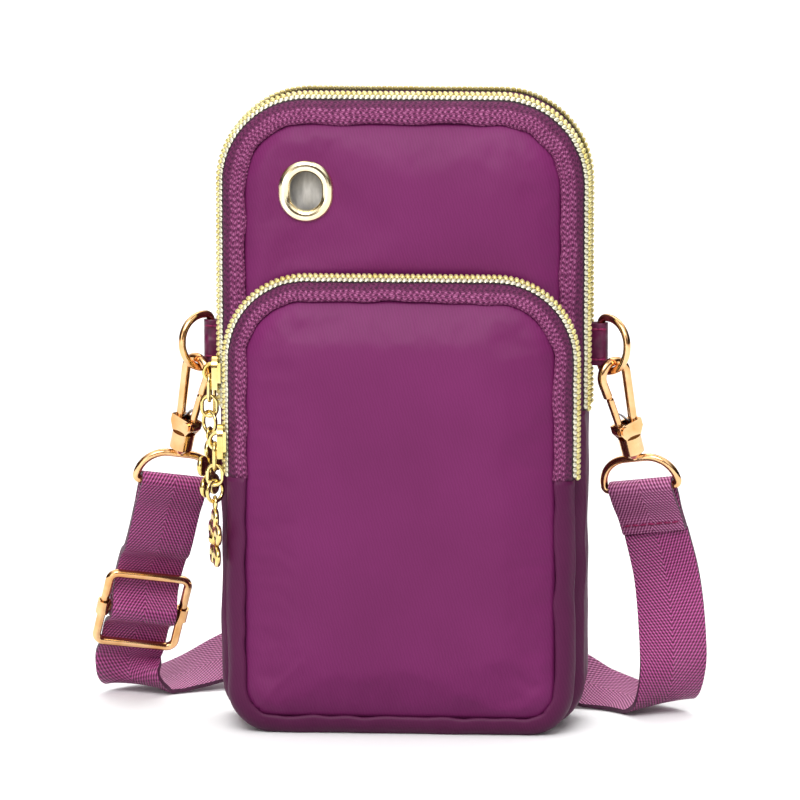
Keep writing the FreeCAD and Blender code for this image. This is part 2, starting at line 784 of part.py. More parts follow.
# Adjusting loop: over the slider bar, up round the left eye and back down to the bar
bar_wrap_radius = frame_wire + layer_gap + strap_thickness / 2
over_radius = bar_wrap_radius + strap_thickness + layer_gap
behind = frame_wire + clearance + strap_thickness / 2
rear_layer = behind + strap_thickness + layer_gap
half_frame = frame_height / 2
frame_top = adjust_drop - half_frame
foot_drop = adjust_drop + half_frame + 2 * frame_wire
adjust_profile = [(foot_drop, -behind), (adjust_drop + half_frame, -behind)]
adjust_profile += bar_wrap(adjust_drop, over_radius, 90 - over_turn, 90 + over_turn, over_steps)
adjust_profile += [(frame_top, -behind), (frame_top - adjust_lead, half_layer)]
adjust_profile += [(far, half_layer), (near, close)]
adjust_profile += bar_wrap(0, eye_wrap, wrap_turn, 360 - wrap_turn, wrap_steps)
adjust_profile += [(near, -close), (far, -half_layer)]
adjust_profile += [(frame_top - adjust_lead, -half_layer), (frame_top, -rear_layer)]
adjust_profile += [(adjust_drop - 2 * bar_wrap_radius, -rear_layer)]
adjust_profile += bar_wrap(adjust_drop, bar_wrap_radius, -90, 90, wrap_steps)
adjust_profile += [(adjust_drop - 2 * bar_wrap_radius, adjust_end_share * bar_wrap_radius)]
adjust_points = lay(adjust_profile, eye_bar, left_drop, left_front)
nodes["strap_adjust_loop"] = ribbon(adjust_points, [left_across] * len(adjust_points))

# Strap slider: frame and the centre bar whose collars run on the side wires
slider_middle = eye_bar + left_drop * adjust_drop
frame_foot = slider_middle + left_drop * half_frame
frame_loop = wire_loop(frame_span, frame_height, frame_radius, frame_radius, frame_wire)
nodes["strap_slider_frame"] = place(frame_loop, frame_at(frame_foot, left_across, -left_drop))
bar_half = frame_span / 2 - frame_wire - fit
slider_bar = Part.makeCylinder(frame_wire, 2 * bar_half, slider_middle - left_across * bar_half, left_across)
for way in (-1, 1):
    collar_foot = slider_middle + left_across * (way * frame_span / 2) - left_drop * (collar_length / 2)
    sleeve = Part.makeCylinder(frame_wire + fit + collar_wall, collar_length, collar_foot, left_drop)
    slider_bar = slider_bar.fuse(sleeve)
for way in (-1, 1):
    collar_foot = slider_middle + left_across * (way * frame_span / 2) - left_drop * collar_length
    channel = Part.makeCylinder(frame_wire + fit, 2 * collar_length, collar_foot, left_drop)
    slider_bar = slider_bar.cut(channel)
nodes["strap_slider_bar"] = slider_bar.removeSplitter()

# Strap folds: the spare length stands on its edge behind the pouch, in runs along Y
fold_z = strap_width / 2 + floor_gap
fold_pitch = 2 * fold_radius
fold_x = fold_pitch * (fold_runs - 1) / 2
fold_front = back_face + fold_clear
folds = []
for run in range(fold_runs):
    x = fold_x - run * fold_pitch
    near_end = fold_front if run < fold_runs - 1 else fold_front + left_entry
    ends = [near_end, fold_front + fold_length]
    if run % 2:
        ends.reverse()
    folds += [Vector(x, y, fold_z) for y in ends]
    if run < fold_runs - 1:
        out = 1 if run % 2 == 0 else -1
        for step in range(1, fold_steps):
            angle = math.pi * step / fold_steps
            folds.append(Vector(x - fold_radius * (1 - math.cos(angle)),
                                ends[1] + out * fold_radius * math.sin(angle), fold_z))

# Right run: from the sewn end down, round on the floor and behind the pouch
right_knots = [
    end_points[-1],
    *[Vector(out - side, seam_y + back, up) for out, back, up in right_run],
    Vector(fold_x + right_turn_in[0], back_face + right_turn_in[1], fold_z),
    folds[0],
]
right_widths = [right_across, *right_run_widths, right_turn_in_width, -UP]

# Left run: from behind the strap slider, round to the back and behind the pouch
left_knots = [
    adjust_points[0],
    *[Vector(side - out, seam_y + back, up) for out, back, up in left_run],
    Vector(-fold_x - left_turn_in[0], back_face + left_turn_in[1], left_turn_in[2]),
    folds[-1],
]
left_widths = [left_across, *left_run_widths, left_turn_in_width, UP]
right_line = spline(right_knots, run_steps)
left_line = spline(left_knots, run_steps)
nodes["strap_right_run"] = ribbon(right_line, spline(right_widths, run_steps), right_drop, ALONG)
nodes["strap_left_run"] = ribbon(left_line, spline(left_widths, run_steps), left_drop, ALONG)
nodes["strap_folds"] = ribbon(folds, [UP] * len(folds))

os.makedirs("parts", exist_ok=True)
for node, shape in nodes.items():
    shape.exportStep("parts/" + node + ".step")
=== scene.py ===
import json
import math

import bmesh
import bpy
from mathutils import Matrix, Vector, noise


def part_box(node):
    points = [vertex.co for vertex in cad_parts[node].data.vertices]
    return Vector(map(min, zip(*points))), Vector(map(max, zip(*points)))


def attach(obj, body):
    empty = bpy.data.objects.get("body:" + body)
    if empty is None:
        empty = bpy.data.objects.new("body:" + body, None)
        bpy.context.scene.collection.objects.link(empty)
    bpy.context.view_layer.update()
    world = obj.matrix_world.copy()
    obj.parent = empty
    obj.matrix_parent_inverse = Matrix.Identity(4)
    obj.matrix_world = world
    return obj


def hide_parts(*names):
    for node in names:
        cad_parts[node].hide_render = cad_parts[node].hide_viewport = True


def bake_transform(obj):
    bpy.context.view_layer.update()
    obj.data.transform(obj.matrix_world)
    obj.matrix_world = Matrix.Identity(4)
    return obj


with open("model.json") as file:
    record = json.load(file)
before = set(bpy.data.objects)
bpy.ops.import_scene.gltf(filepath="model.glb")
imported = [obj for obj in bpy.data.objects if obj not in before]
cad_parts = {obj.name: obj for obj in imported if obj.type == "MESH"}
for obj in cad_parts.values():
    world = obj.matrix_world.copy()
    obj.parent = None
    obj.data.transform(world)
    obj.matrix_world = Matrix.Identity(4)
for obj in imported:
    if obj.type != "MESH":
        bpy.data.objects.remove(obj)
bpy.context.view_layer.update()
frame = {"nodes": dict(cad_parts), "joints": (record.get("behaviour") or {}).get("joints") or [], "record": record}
bpy.ops.object.select_all(action="DESELECT")

# Places that the frame gives, in metres
MM = 0.001
low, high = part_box("rear_gusset")
HALF_WIDTH = high.x
REAR_FRONT, REAR_BACK = low.y, high.y
BODY_ZIP_END = high.z
BODY_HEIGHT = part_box("rear_tape_fixed")[1].z
low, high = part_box("main_gusset")
MAIN_FRONT, MAIN_BACK = low.y, high.y
MIDDLE = (MAIN_BACK + REAR_FRONT) / 2
low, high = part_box("pocket_gusset")
POCKET_HALF = high.x
POCKET_FRONT = low.y
POCKET_ZIP_END = high.z
POCKET_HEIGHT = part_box("pocket_tape_fixed")[1].z
FRONT_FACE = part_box("front_panel_lower")[0].y
BACK_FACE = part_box("back_panel_lower")[1].y
POCKET_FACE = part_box("pocket_panel_lower")[0].y
BODY_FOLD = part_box("front_panel_lower")[1].z
POCKET_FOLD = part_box("pocket_panel_lower")[1].z
CHAIN_GAP = 1.0 * MM
MAIN_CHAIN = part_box("main_teeth_leaf")[1].y + CHAIN_GAP / 2
REAR_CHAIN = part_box("rear_teeth_leaf")[0].y - CHAIN_GAP / 2
POCKET_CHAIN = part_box("pocket_teeth_leaf")[1].y + CHAIN_GAP / 2

# Outlines of the compartments: half width, height, top and bottom corner radius
BODY = (HALF_WIDTH, BODY_HEIGHT, 24 * MM, 14 * MM)
POCKET = (POCKET_HALF, POCKET_HEIGHT, 22 * MM, 13 * MM)
BODY_ROLL = 7.0 * MM
POCKET_ROLL = 5.5 * MM
BODY_DIP = 2.5 * MM
POCKET_DIP = 4.5 * MM
WALL = 1.5 * MM


def linear(code):
    """Linear colour of an sRGB hex value."""
    channels = [int(code[i:i + 2], 16) / 255 for i in (1, 3, 5)]
    return [c / 12.92 if c <= 0.04045 else ((c + 0.055) / 1.055) ** 2.4 for c in channels] + [1.0]


def add(tree, kind, values=None, **settings):
    """Adds a node with its settings; a value is a number, a colour or a (node, output) link."""
    node = tree.nodes.new("ShaderNode" + kind)
    for key, value in settings.items():
        setattr(node, key, value)
    for key, value in (values or {}).items():
        if isinstance(value, tuple) and hasattr(value[0], "outputs"):
            tree.links.new(value[0].outputs[value[1]], node.inputs[key])
        else:
            node.inputs[key].default_value = value
    return node


def start_material(name, **sockets):
    """A material with a Principled shader whose constant sockets are set directly."""
    made = bpy.data.materials.new(name)
    made.use_nodes = True
    shader = made.node_tree.nodes["Principled BSDF"]
    for key, value in sockets.items():
        shader.inputs[key.replace("_", " ")].default_value = value
    return made, made.node_tree, shader


def ramp(tree, factor, *stops):
    """Colour ramp through (position, hex) stops."""
    node = add(tree, "ValToRGB", {"Fac": factor})
    while len(node.color_ramp.elements) < len(stops):
        node.color_ramp.elements.new(0.5)
    for element, (position, code) in zip(node.color_ramp.elements, stops):
        element.position = position
        element.color = linear(code)
    return node


TURN = 2 * math.pi
# A wave texture at scale 1 repeats after this length
WAVE_PERIOD = TURN / 20
# Sizes of the patterns that follow the object, in metres
TWILL_RIB = 0.8 * MM
TWILL_SLANT = math.radians(16)
TWILL_GRAIN = 0.5 * MM
TWILL_CLOUD = 30 * MM
SATIN_THREAD = 4 * MM
PLATE_CLOUD = 5 * MM
PAPER_TOOTH = 2.5 * MM
# Sizes of the weaves that follow a UV map, in its millimetres
TAPE_ROW = 0.45
TAPE_STITCH = 0.65
TAPE_SLOPE = 1.1
WEBBING_RIB = 1.6
WEBBING_SLOPE = 1.7
WEBBING_PICK = 0.9


def nylon_twill(name, dark, light):
    """Dyed nylon twill: a soft satin sheen, fine slanting ribs and slight shifts of colour."""
    made, tree, shader = start_material(name, Roughness=0.5, Specular_IOR_Level=0.2, Sheen_Weight=0.02)
    shader.inputs["Sheen Tint"].default_value = linear("#c878b4")
    place = add(tree, "TexCoord")
    # Ribs of real twill are 0.3 mm apart; they are drawn at 0.8 mm so that they show
    turned = add(tree, "Mapping", {"Vector": (place, "Object"), "Rotation": (0, TWILL_SLANT, 0)})
    ribs = add(tree, "TexWave", {"Vector": (turned, "Vector"), "Scale": WAVE_PERIOD / TWILL_RIB,
                                 "Distortion": 2.5, "Detail": 2.0, "Detail Scale": 1.5},
               bands_direction="X")
    cloud = add(tree, "TexNoise", {"Vector": (place, "Object"), "Scale": 1 / TWILL_CLOUD, "Detail": 2.0})
    tone = ramp(tree, (cloud, "Fac"), (0.3, dark), (0.7, light))
    thread = ramp(tree, (ribs, "Fac"), (0.0, "#f0f0f0"), (0.6, "#ffffff"))
    colour = add(tree, "Mix", {0: 1.0, 6: (tone, "Color"), 7: (thread, "Color")},
                 data_type="RGBA", blend_type="MULTIPLY")
    grain = add(tree, "TexNoise", {"Vector": (place, "Object"), "Scale": 1 / TWILL_GRAIN, "Detail": 2.0})
    height = add(tree, "Math", {0: (ribs, "Fac"), 1: (grain, "Fac")}, operation="ADD")
    bump = add(tree, "Bump", {"Strength": 0.2, "Distance": 0.08 * MM, "Height": (height, "Value")})
    tree.links.new(colour.outputs[2], shader.inputs["Base Color"])
    tree.links.new(bump.outputs["Normal"], shader.inputs["Normal"])
    return made


def zip_tape():
    """Woven polyester zip tape: an uneven herringbone, dark beside the chain and lighter at the seam, with painted
    shade along its edge under the coil.
    """
    made, tree, shader = start_material("zip_tape", Roughness=0.62, Specular_IOR_Level=0.25,
                                        Sheen_Weight=0.04)
    shader.inputs["Sheen Tint"].default_value = linear("#d69ac4")
    flat = add(tree, "UVMap", uv_map="cloth")
    wander = add(tree, "TexNoise", {"Vector": (flat, "UV"), "Scale": 0.9, "Detail": 3.0})
    moved = add(tree, "Mix", {0: 0.6, 4: (flat, "UV"), 5: (wander, "Color")}, data_type="VECTOR",
                blend_type="ADD")
    axes = add(tree, "SeparateXYZ", {"Vector": (moved, 1)})
    straight = add(tree, "SeparateXYZ", {"Vector": (flat, "UV")})
    # UV is in millimetres: U along the tape, V across it from the chain
    fold = add(tree, "Math", {0: (axes, "Y"), 1: TAPE_ROW}, operation="PINGPONG")
    slant = add(tree, "Math", {0: (fold, "Value"), 1: TAPE_SLOPE, 2: (axes, "X")},
                operation="MULTIPLY_ADD")
    phase = add(tree, "Math", {0: (slant, "Value"), 1: TURN / TAPE_STITCH}, operation="MULTIPLY")
    stitch = add(tree, "Math", {0: (phase, "Value")}, operation="SINE")
    rows = add(tree, "Math", {0: (axes, "Y"), 1: TURN / TAPE_ROW}, operation="MULTIPLY")
    row = add(tree, "Math", {0: (rows, "Value")}, operation="COSINE")
    loop = add(tree, "Math", {0: (row, "Value"), 1: 0.35}, operation="ADD")
    weave = add(tree, "Math", {0: (stitch, "Value"), 1: (loop, "Value")}, operation="MULTIPLY")
    level = add(tree, "MapRange", {"Value": (weave, "Value"), "From Min": -1.2, "From Max": 1.2})
    yarn = ramp(tree, (level, "Result"), (0.15, "#4c183c"), (0.5, "#782c5c"), (0.9, "#b06492"))
    fine = ramp(tree, (level, "Result"), (0.2, "#451437"), (0.8, "#702a56"))
    # Beside the chain the yarn is darker; along the very edge under the coil it is painted nearly black, as
    # painted shade in the gap between coil and tape
    inner = add(tree, "MapRange", {"Value": (straight, "Y"), "From Min": 4.2, "From Max": 4.9})
    cloth = add(tree, "Mix", {0: (inner, "Result"), 6: (fine, "Color"), 7: (yarn, "Color")},
                data_type="RGBA")
    edge = add(tree, "MapRange", {"Value": (straight, "Y"), "From Min": 1.5, "From Max": 2.3})
    colour = add(tree, "Mix", {0: (edge, "Result"), 6: linear("#150911"), 7: (cloth, 2)}, data_type="RGBA")
    bump = add(tree, "Bump", {"Strength": 0.8, "Distance": 0.3 * MM, "Height": (level, "Result")})
    tree.links.new(colour.outputs[2], shader.inputs["Base Color"])
    tree.links.new(bump.outputs["Normal"], shader.inputs["Normal"])
    return made


def webbing(name, dark, middle, light):
    """Nylon webbing in a herringbone weave: glossy filament ribs that meet at a spine."""
    made, tree, shader = start_material(name, Roughness=0.38, Specular_IOR_Level=0.38, Sheen_Weight=0.04)
    shader.inputs["Sheen Tint"].default_value = linear("#e2a6d4")
    flat = add(tree, "UVMap", uv_map="cloth")
    axes = add(tree, "SeparateXYZ", {"Vector": (flat, "UV")})
    # UV is in millimetres: U along the strap, V across it from its middle
    side = add(tree, "Math", {0: (axes, "Y")}, operation="ABSOLUTE")
    slant = add(tree, "Math", {0: (side, "Value"), 1: WEBBING_SLOPE, 2: (axes, "X")},
                operation="MULTIPLY_ADD")
    phase = add(tree, "Math", {0: (slant, "Value"), 1: TURN / WEBBING_RIB}, operation="MULTIPLY")
    rib = add(tree, "Math", {0: (phase, "Value")}, operation="SINE")
    pick_phase = add(tree, "Math", {0: (axes, "X"), 1: TURN / WEBBING_PICK}, operation="MULTIPLY")
    pick = add(tree, "Math", {0: (pick_phase, "Value")}, operation="SINE")
    weave = add(tree, "Math", {0: (pick, "Value"), 1: 0.5, 2: (rib, "Value")}, operation="MULTIPLY_ADD")
    level = add(tree, "MapRange", {"Value": (weave, "Value"), "From Min": -1.5, "From Max": 1.5})
    # The ribs' light crowns and dark gaps are partly the weave's pattern and partly painted sheen on the crowns
    # and painted shade in the gaps
    yarn = ramp(tree, (level, "Result"), (0.1, dark), (0.5, middle), (0.9, light))
    bump = add(tree, "Bump", {"Strength": 0.9, "Distance": 0.3 * MM, "Height": (level, "Result")})
    tree.links.new(yarn.outputs["Color"], shader.inputs["Base Color"])
    tree.links.new(bump.outputs["Normal"], shader.inputs["Normal"])
    return made


def satin(name, dark, light, roughness):
    """Smooth satin ribbon or lining: long fine threads and a soft shine."""
    made, tree, shader = start_material(name, Roughness=roughness, Specular_IOR_Level=0.35,
                                        Sheen_Weight=0.04)
    place = add(tree, "TexCoord")
    long = add(tree, "Mapping", {"Vector": (place, "Object"), "Scale": (2.5, 1, 0.8)})
    thread = add(tree, "TexNoise", {"Vector": (long, "Vector"), "Scale": 1 / SATIN_THREAD, "Detail": 4.0})
    tone = ramp(tree, (thread, "Fac"), (0.3, dark), (0.7, light))
    bump = add(tree, "Bump", {"Strength": 0.3, "Distance": 0.15 * MM, "Height": (thread, "Fac")})
    tree.links.new(tone.outputs["Color"], shader.inputs["Base Color"])
    tree.links.new(bump.outputs["Normal"], shader.inputs["Normal"])
    return made


def plated_metal(name, dark, light, roughness, metallic=1.0):
    """Polished plate: a mirror finish, faintly clouded by handling."""
    made, tree, shader = start_material(name, Metallic=metallic)
    place = add(tree, "TexCoord")
    cloud = add(tree, "TexNoise", {"Vector": (place, "Object"), "Scale": 1 / PLATE_CLOUD, "Detail": 3.0})
    tone = ramp(tree, (cloud, "Fac"), (0.3, dark), (0.7, light))
    haze = add(tree, "MapRange", {"Value": (cloud, "Fac"), "To Min": roughness * 0.8,
                                  "To Max": roughness * 1.3})
    tree.links.new(tone.outputs["Color"], shader.inputs["Base Color"])
    tree.links.new(haze.outputs["Result"], shader.inputs["Roughness"])
    return made


def paper_floor():
    """Matt white paper sweep with a barely visible tooth."""
    made, tree, shader = start_material("paper_floor", Roughness=0.9)
    place = add(tree, "TexCoord")
    tooth = add(tree, "TexNoise", {"Vector": (place, "Object"), "Scale": 1 / PAPER_TOOTH})
    tone = ramp(tree, (tooth, "Fac"), (0.0, "#f6f6f6"), (1.0, "#fbfbfb"))
    # What the floor throws back onto the pouch is toned down, as black cards on it would do
    ray = add(tree, "LightPath")
    seen = add(tree, "Mix", {0: (ray, "Is Diffuse Ray"), 6: (tone, "Color"), 7: linear("#a0a0a0")},
               data_type="RGBA")
    tree.links.new(seen.outputs[2], shader.inputs["Base Color"])
    return made


TWILL = nylon_twill("nylon_twill", "#702259", "#782661")
# The gussets' twill is the same cloth painted darker, as painted shade on the pouch's sides
SIDE_SHADE_TWILL = nylon_twill("nylon_twill_painted_side_shade", "#531640", "#5a1b46")
TAPE = zip_tape()
WEBBING = webbing("herringbone_webbing", "#461431", "#90306c", "#cc64a6")
# The webbing's back face is the same webbing painted lighter: painted light on the face turned up
WEBBING_BACK_PAINTED_LIGHTER = webbing("herringbone_webbing_back_painted_lighter", "#58203f", "#a24c80", "#d88cba")
LINING = satin("satin_lining", "#a4a2a0", "#d2d0ce", 0.42)
SELVEDGE = satin("webbing_selvedge", "#38102c", "#5c1e48", 0.5)
RIBBON = satin("satin_ribbon", "#470d30", "#6c1848", 0.38)
THREAD = satin("sewing_thread", "#74103f", "#961f5a", 0.5)
GOLD = plated_metal("rose_gold_plate", "#d9a268", "#edc494", 0.13)
YELLOW_GOLD = plated_metal("yellow_gold_plate", "#d9bc6c", "#efdca0", 0.13)
PALE_GOLD = plated_metal("pale_gold_plate", "#ecd8a8", "#f6ecd0", 0.16)
COIL = plated_metal("gold_coil", "#e2d07c", "#f2e8ac", 0.3, 0.5)
SILVER_COIL = plated_metal("silver_coil", "#dad5bc", "#f2eed8", 0.3, 0.5)
STEEL = plated_metal("spring_steel", "#8a8a8c", "#a4a4a6", 0.3)


def rim_pieces(form):
    """Straights and corner arcs of an outline from the base's middle, by the left side and over the top."""
    half, height, top, low_radius = form
    quarter = math.pi / 2
    side = height - top - low_radius
    return [
        (half - low_radius, (0, 0), (-1, 0), None),
        (low_radius * quarter, (low_radius - half, low_radius), 270, low_radius),
        (side, (-half, low_radius), (0, 1), None),
        (top * quarter, (top - half, height - top), 180, top),
        (2 * (half - top), (top - half, height), (1, 0), None),
        (top * quarter, (half - top, height - top), 90, top),
        (side, (half, height - top), (0, -1), None),
        (low_radius * quarter, (half - low_radius, low_radius), 0, low_radius),
        (half - low_radius, (half - low_radius, 0), (-1, 0), None),
    ]


def rim_length(form):
    """Length once round an outline."""
    return sum(piece[0] for piece in rim_pieces(form))


def rim_at(form, s):
    """Place and outward direction (x, z, nx, nz) at an arc length along an outline."""
    s %= rim_length(form)
    for length, (x, z), way, radius in rim_pieces(form):
        if s <= length:
            break
        s -= length
    if radius is None:
        dx, dz = way
        return x + dx * s, z + dz * s, -dz, dx
    angle = math.radians(way) - s / radius
    nx, nz = math.cos(angle), math.sin(angle)
    return x + radius * nx, z + radius * nz, nx, nz


def rim_height(form, z):
    """Arc length at which the left side reaches a height."""
    half, _, _, low_radius = form
    return half - low_radius + low_radius * math.pi / 2 + z - low_radius


def zip_reach(form, zip_end):
    """Arc lengths between which a zip runs up one side, over the top and down the other."""
    start = rim_height(form, zip_end)
    return start, rim_length(form) - start


def rim_depth(form, inset, x, z):
    """How far a point lies inside an outline drawn in by inset, and the way out (depth, nx, nz)."""
    half, height, top, low_radius = form
    above = z > height / 2
    radius = (top if above else low_radius) - inset
    dx = abs(x) - (half - inset - radius)
    dz = z - (height - inset - radius) if above else inset + radius - z
    side = math.copysign(1, x)
    rise = 1 if above else -1
    if dx > 0 and dz > 0:
        reach = math.hypot(dx, dz)
        return radius - reach, side * dx / reach, rise * dz / reach
    if dx > dz:
        return radius - dx, side, 0
    return radius - dz, 0, rise


def apply_all(piece):
    """Applies a piece's modifiers in their order."""
    bpy.ops.object.select_all(action="DESELECT")
    bpy.context.view_layer.objects.active = piece
    piece.select_set(True)
    for modifier in list(piece.modifiers):
        bpy.ops.object.modifier_apply(modifier=modifier.name)
    piece.select_set(False)


def refine(piece):
    """Rounds cloth by one finer level, which thicken applies."""
    fine = piece.modifiers.new("Subdivision", "SUBSURF")
    fine.levels = fine.render_levels = 1


def thicken(piece, thickness, offset, lined, edged=False):
    """Gives cloth its thickness.

    A lined piece's inner face takes the second material, and an edged piece's rim the third.
    """
    solid = piece.modifiers.new("Solidify", "SOLIDIFY")
    solid.thickness = thickness
    solid.offset = offset
    solid.material_offset = 1 if lined else 0
    solid.material_offset_rim = 2 if edged else 0
    apply_all(piece)


def cloth_grid(name, rows, flat, materials):
    """Cloth through rows of points, with a UV map in millimetres; flat has the same rows as (u, v)."""
    wide = len(rows[0])
    faces = []
    for r in range(len(rows) - 1):
        for c in range(wide - 1):
            at = r * wide + c
            faces.append((at, at + 1, at + wide + 1, at + wide))
    mesh = bpy.data.meshes.new(name)
    mesh.from_pydata([p for row in rows for p in row], [], faces)
    piece = bpy.data.objects.new(name, mesh)
    bpy.context.scene.collection.objects.link(piece)
    mesh.shade_smooth()
    places = [uv for row in flat for uv in row]
    layer = mesh.uv_layers.new(name="cloth")
    for loop in mesh.loops:
        layer.data[loop.index].uv = [value / MM for value in places[loop.vertex_index]]
    for material in materials:
        mesh.materials.append(material)
    return piece


def face_out(piece):
    """Turns the faces away from the middle of the pouch."""
    middle = Vector((0, MIDDLE, BODY_HEIGHT / 2))
    total = 0.0
    for polygon in piece.data.polygons:
        total += polygon.normal.dot(polygon.center - middle) * polygon.area
    if total < 0:
        piece.data.flip_normals()


def finish_piece(piece, body, slot, *nodes):
    """A piece that keeps its shape on one body, and the nodes that it stands for."""
    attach(piece, body)
    if nodes:
        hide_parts(*nodes)


def bend_piece(piece, leaf, fold, slot, *nodes):
    """Cloth whose place is baked into its mesh, hiding the nodes that it stands for."""
    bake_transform(piece)
    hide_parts(*nodes)


def quarter_turn(start, end):
    """Rounded profile of (y, inset) that leaves a seam outwards and ends along Y."""
    (y0, i0), (y1, i1) = start, end
    turns = [math.pi / 2 * k / ROUND_STEPS for k in range(ROUND_STEPS + 1)]
    return [(y0 + (y1 - y0) * (1 - math.cos(t)), i0 + (i1 - i0) * math.sin(t)) for t in turns]


def profile_length(profile):
    """Length along a profile's points."""
    return sum(math.dist(a, b) for a, b in zip(profile, profile[1:]))


def band(name, form, s_range, profile, materials, ruck, seam_y):
    """Lined strip of cloth along an outline; V runs across it from the profile's start.

    Between its edges the cloth is rucked, by so much at most and over so long a way. At the panel's seam,
    in the plane at seam_y, its edge wavers.
    """
    depth, length = ruck
    count = round((s_range[1] - s_range[0]) / BAND_STEP)
    across = [profile_length(profile[:k + 1]) for k in range(len(profile))]
    rows, flat = [], []
    for k in range(count + 1):
        s = s_range[0] + (s_range[1] - s_range[0]) * k / count
        x, z, nx, nz = rim_at(form, s)
        row = []
        for (y, inset), v in zip(profile, across):
            wave = noise.noise(Vector((s / length, v / length, y / length)))
            inset -= depth * wave * math.sin(math.pi * v / across[-1])
            nearness = max(0.0, 1 - abs(y - seam_y) / SEAM_REACH)
            inset += SEAM_WAVER * noise.noise(Vector((x, seam_y, z)) / SEAM_WAVER_RUN) * nearness
            row.append((x - nx * inset, y, z - nz * inset))
        rows.append(row)
        flat.append([(s, v) for v in across])
    piece = cloth_grid(name, rows, flat, materials)
    face_out(piece)
    thicken(piece, WALL, -1, True)
    return piece


# Gussets and zip tapes
ROUND_STEPS = 8
BAND_STEP = 1.5 * MM
GUSSET_PROUD = 0.35 * MM
GUSSET_RUCK = (0.5 * MM, 11 * MM)
TAPE_RUCK = (0.35 * MM, 5 * MM)
ROW_LIFT = 0.6 * MM
SEAM_WAVER = 0.8 * MM
SEAM_WAVER_RUN = 7 * MM
SEAM_REACH = 2.5 * MM
# By name: outline, leaf's seam, chain, fixed seam, roll at the leaf's seam, dip at the fixed seam,
# zip's end and fold
COMPARTMENTS = {
    "main": (BODY, MAIN_FRONT, MAIN_CHAIN, MAIN_BACK, BODY_ROLL, BODY_DIP, BODY_ZIP_END, BODY_FOLD),
    "rear": (BODY, REAR_BACK, REAR_CHAIN, REAR_FRONT, BODY_ROLL, BODY_DIP, BODY_ZIP_END, BODY_FOLD),
    "pocket": (POCKET, POCKET_FRONT, POCKET_CHAIN, FRONT_FACE, POCKET_ROLL, POCKET_DIP, POCKET_ZIP_END,
               POCKET_FOLD),
}
for name, (form, leaf_y, chain, fixed_y, roll, dip, zip_end, fold) in COMPARTMENTS.items():
    way = math.copysign(1, fixed_y - leaf_y)
    zip_range = zip_reach(form, zip_end)
    s_zip = zip_range[0]
    gap = way * CHAIN_GAP / 2
    leaf_tape = quarter_turn((leaf_y, roll), (chain - gap, 0))[::-1]
    piece = band(name + "_leaf_tape_cloth", form, zip_range, leaf_tape, [TAPE, LINING], TAPE_RUCK, leaf_y)
    bend_piece(piece, name + "_leaf", fold, "zip_tape", name + "_tape_leaf")
    fixed_tape = quarter_turn((fixed_y, dip), (chain + gap, -ROW_LIFT))[::-1]
    piece = band(name + "_fixed_tape_cloth", form, zip_range, fixed_tape, [TAPE, LINING], TAPE_RUCK, leaf_y)
    finish_piece(piece, "pouch", "zip_tape", name + "_tape_fixed")
    whole = quarter_turn((leaf_y, roll), (chain, 0)) + quarter_turn((fixed_y, dip), (chain, 0))[-2::-1]
    proud = [(y, inset - GUSSET_PROUD) for y, inset in whole]
    # The gusset takes the twill painted darker: painted shade on the pouch's sides
    piece = band(name + "_gusset_cloth", form, (-s_zip, s_zip), proud, [SIDE_SHADE_TWILL, LINING], GUSSET_RUCK,
                 leaf_y)
    finish_piece(piece, "pouch", "nylon_twill", name + "_gusset")


# Panels
CELL = 1.5 * MM
TRIM_MARGIN = 0.3 * CELL
EDGE_REACH = 2 * CELL
SEWN_REACH = 0.1 * CELL
PANEL_CLOTH = 1.0 * MM
PANEL_LAP = 0.9 * MM
SEAM_TUCK = 1.5 * MM
SWELL_RUN = 4.0 * MM
SWELL_FRAMES = 20
SWELL_CAP = 0.9 * MM
SPARE_CLOTH = 0.006
PUCKER_DEPTH = 1.5 * MM
PUCKER_PITCH = 3.4 * MM
PUCKER_RUN = 3.2 * MM
CROWN = 2.2 * MM
CROWN_RUN = 11 * MM
EYELET_CROWN_RUN = 0.5 * CROWN_RUN
EYELET = (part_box("eyelet_ring")[0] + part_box("eyelet_ring")[1]) / 2
EYELET_STRAIGHT = 1.9 * MM
EYELET_CUT = 5.6 * MM
EYELET_GRIP = 8.4 * MM


def eyelet_distance(x, z):
    """Distance from the eyelet's middle line."""
    up = max(-EYELET_STRAIGHT / 2, min(EYELET_STRAIGHT / 2, z - EYELET.z))
    return math.hypot(x - EYELET.x, z - EYELET.z - up)


def clear_of_pocket(x, z):
    """How far the front panel may belly: not at all behind the pocket and round the eyelet."""
    outside = max(0.0, -rim_depth(POCKET, 0, x, z)[0])
    aside = max(0.0, eyelet_distance(x, z) - EYELET_GRIP)
    return (1 - math.exp(-outside / CROWN_RUN)) * (1 - math.exp(-aside / EYELET_CROWN_RUN))


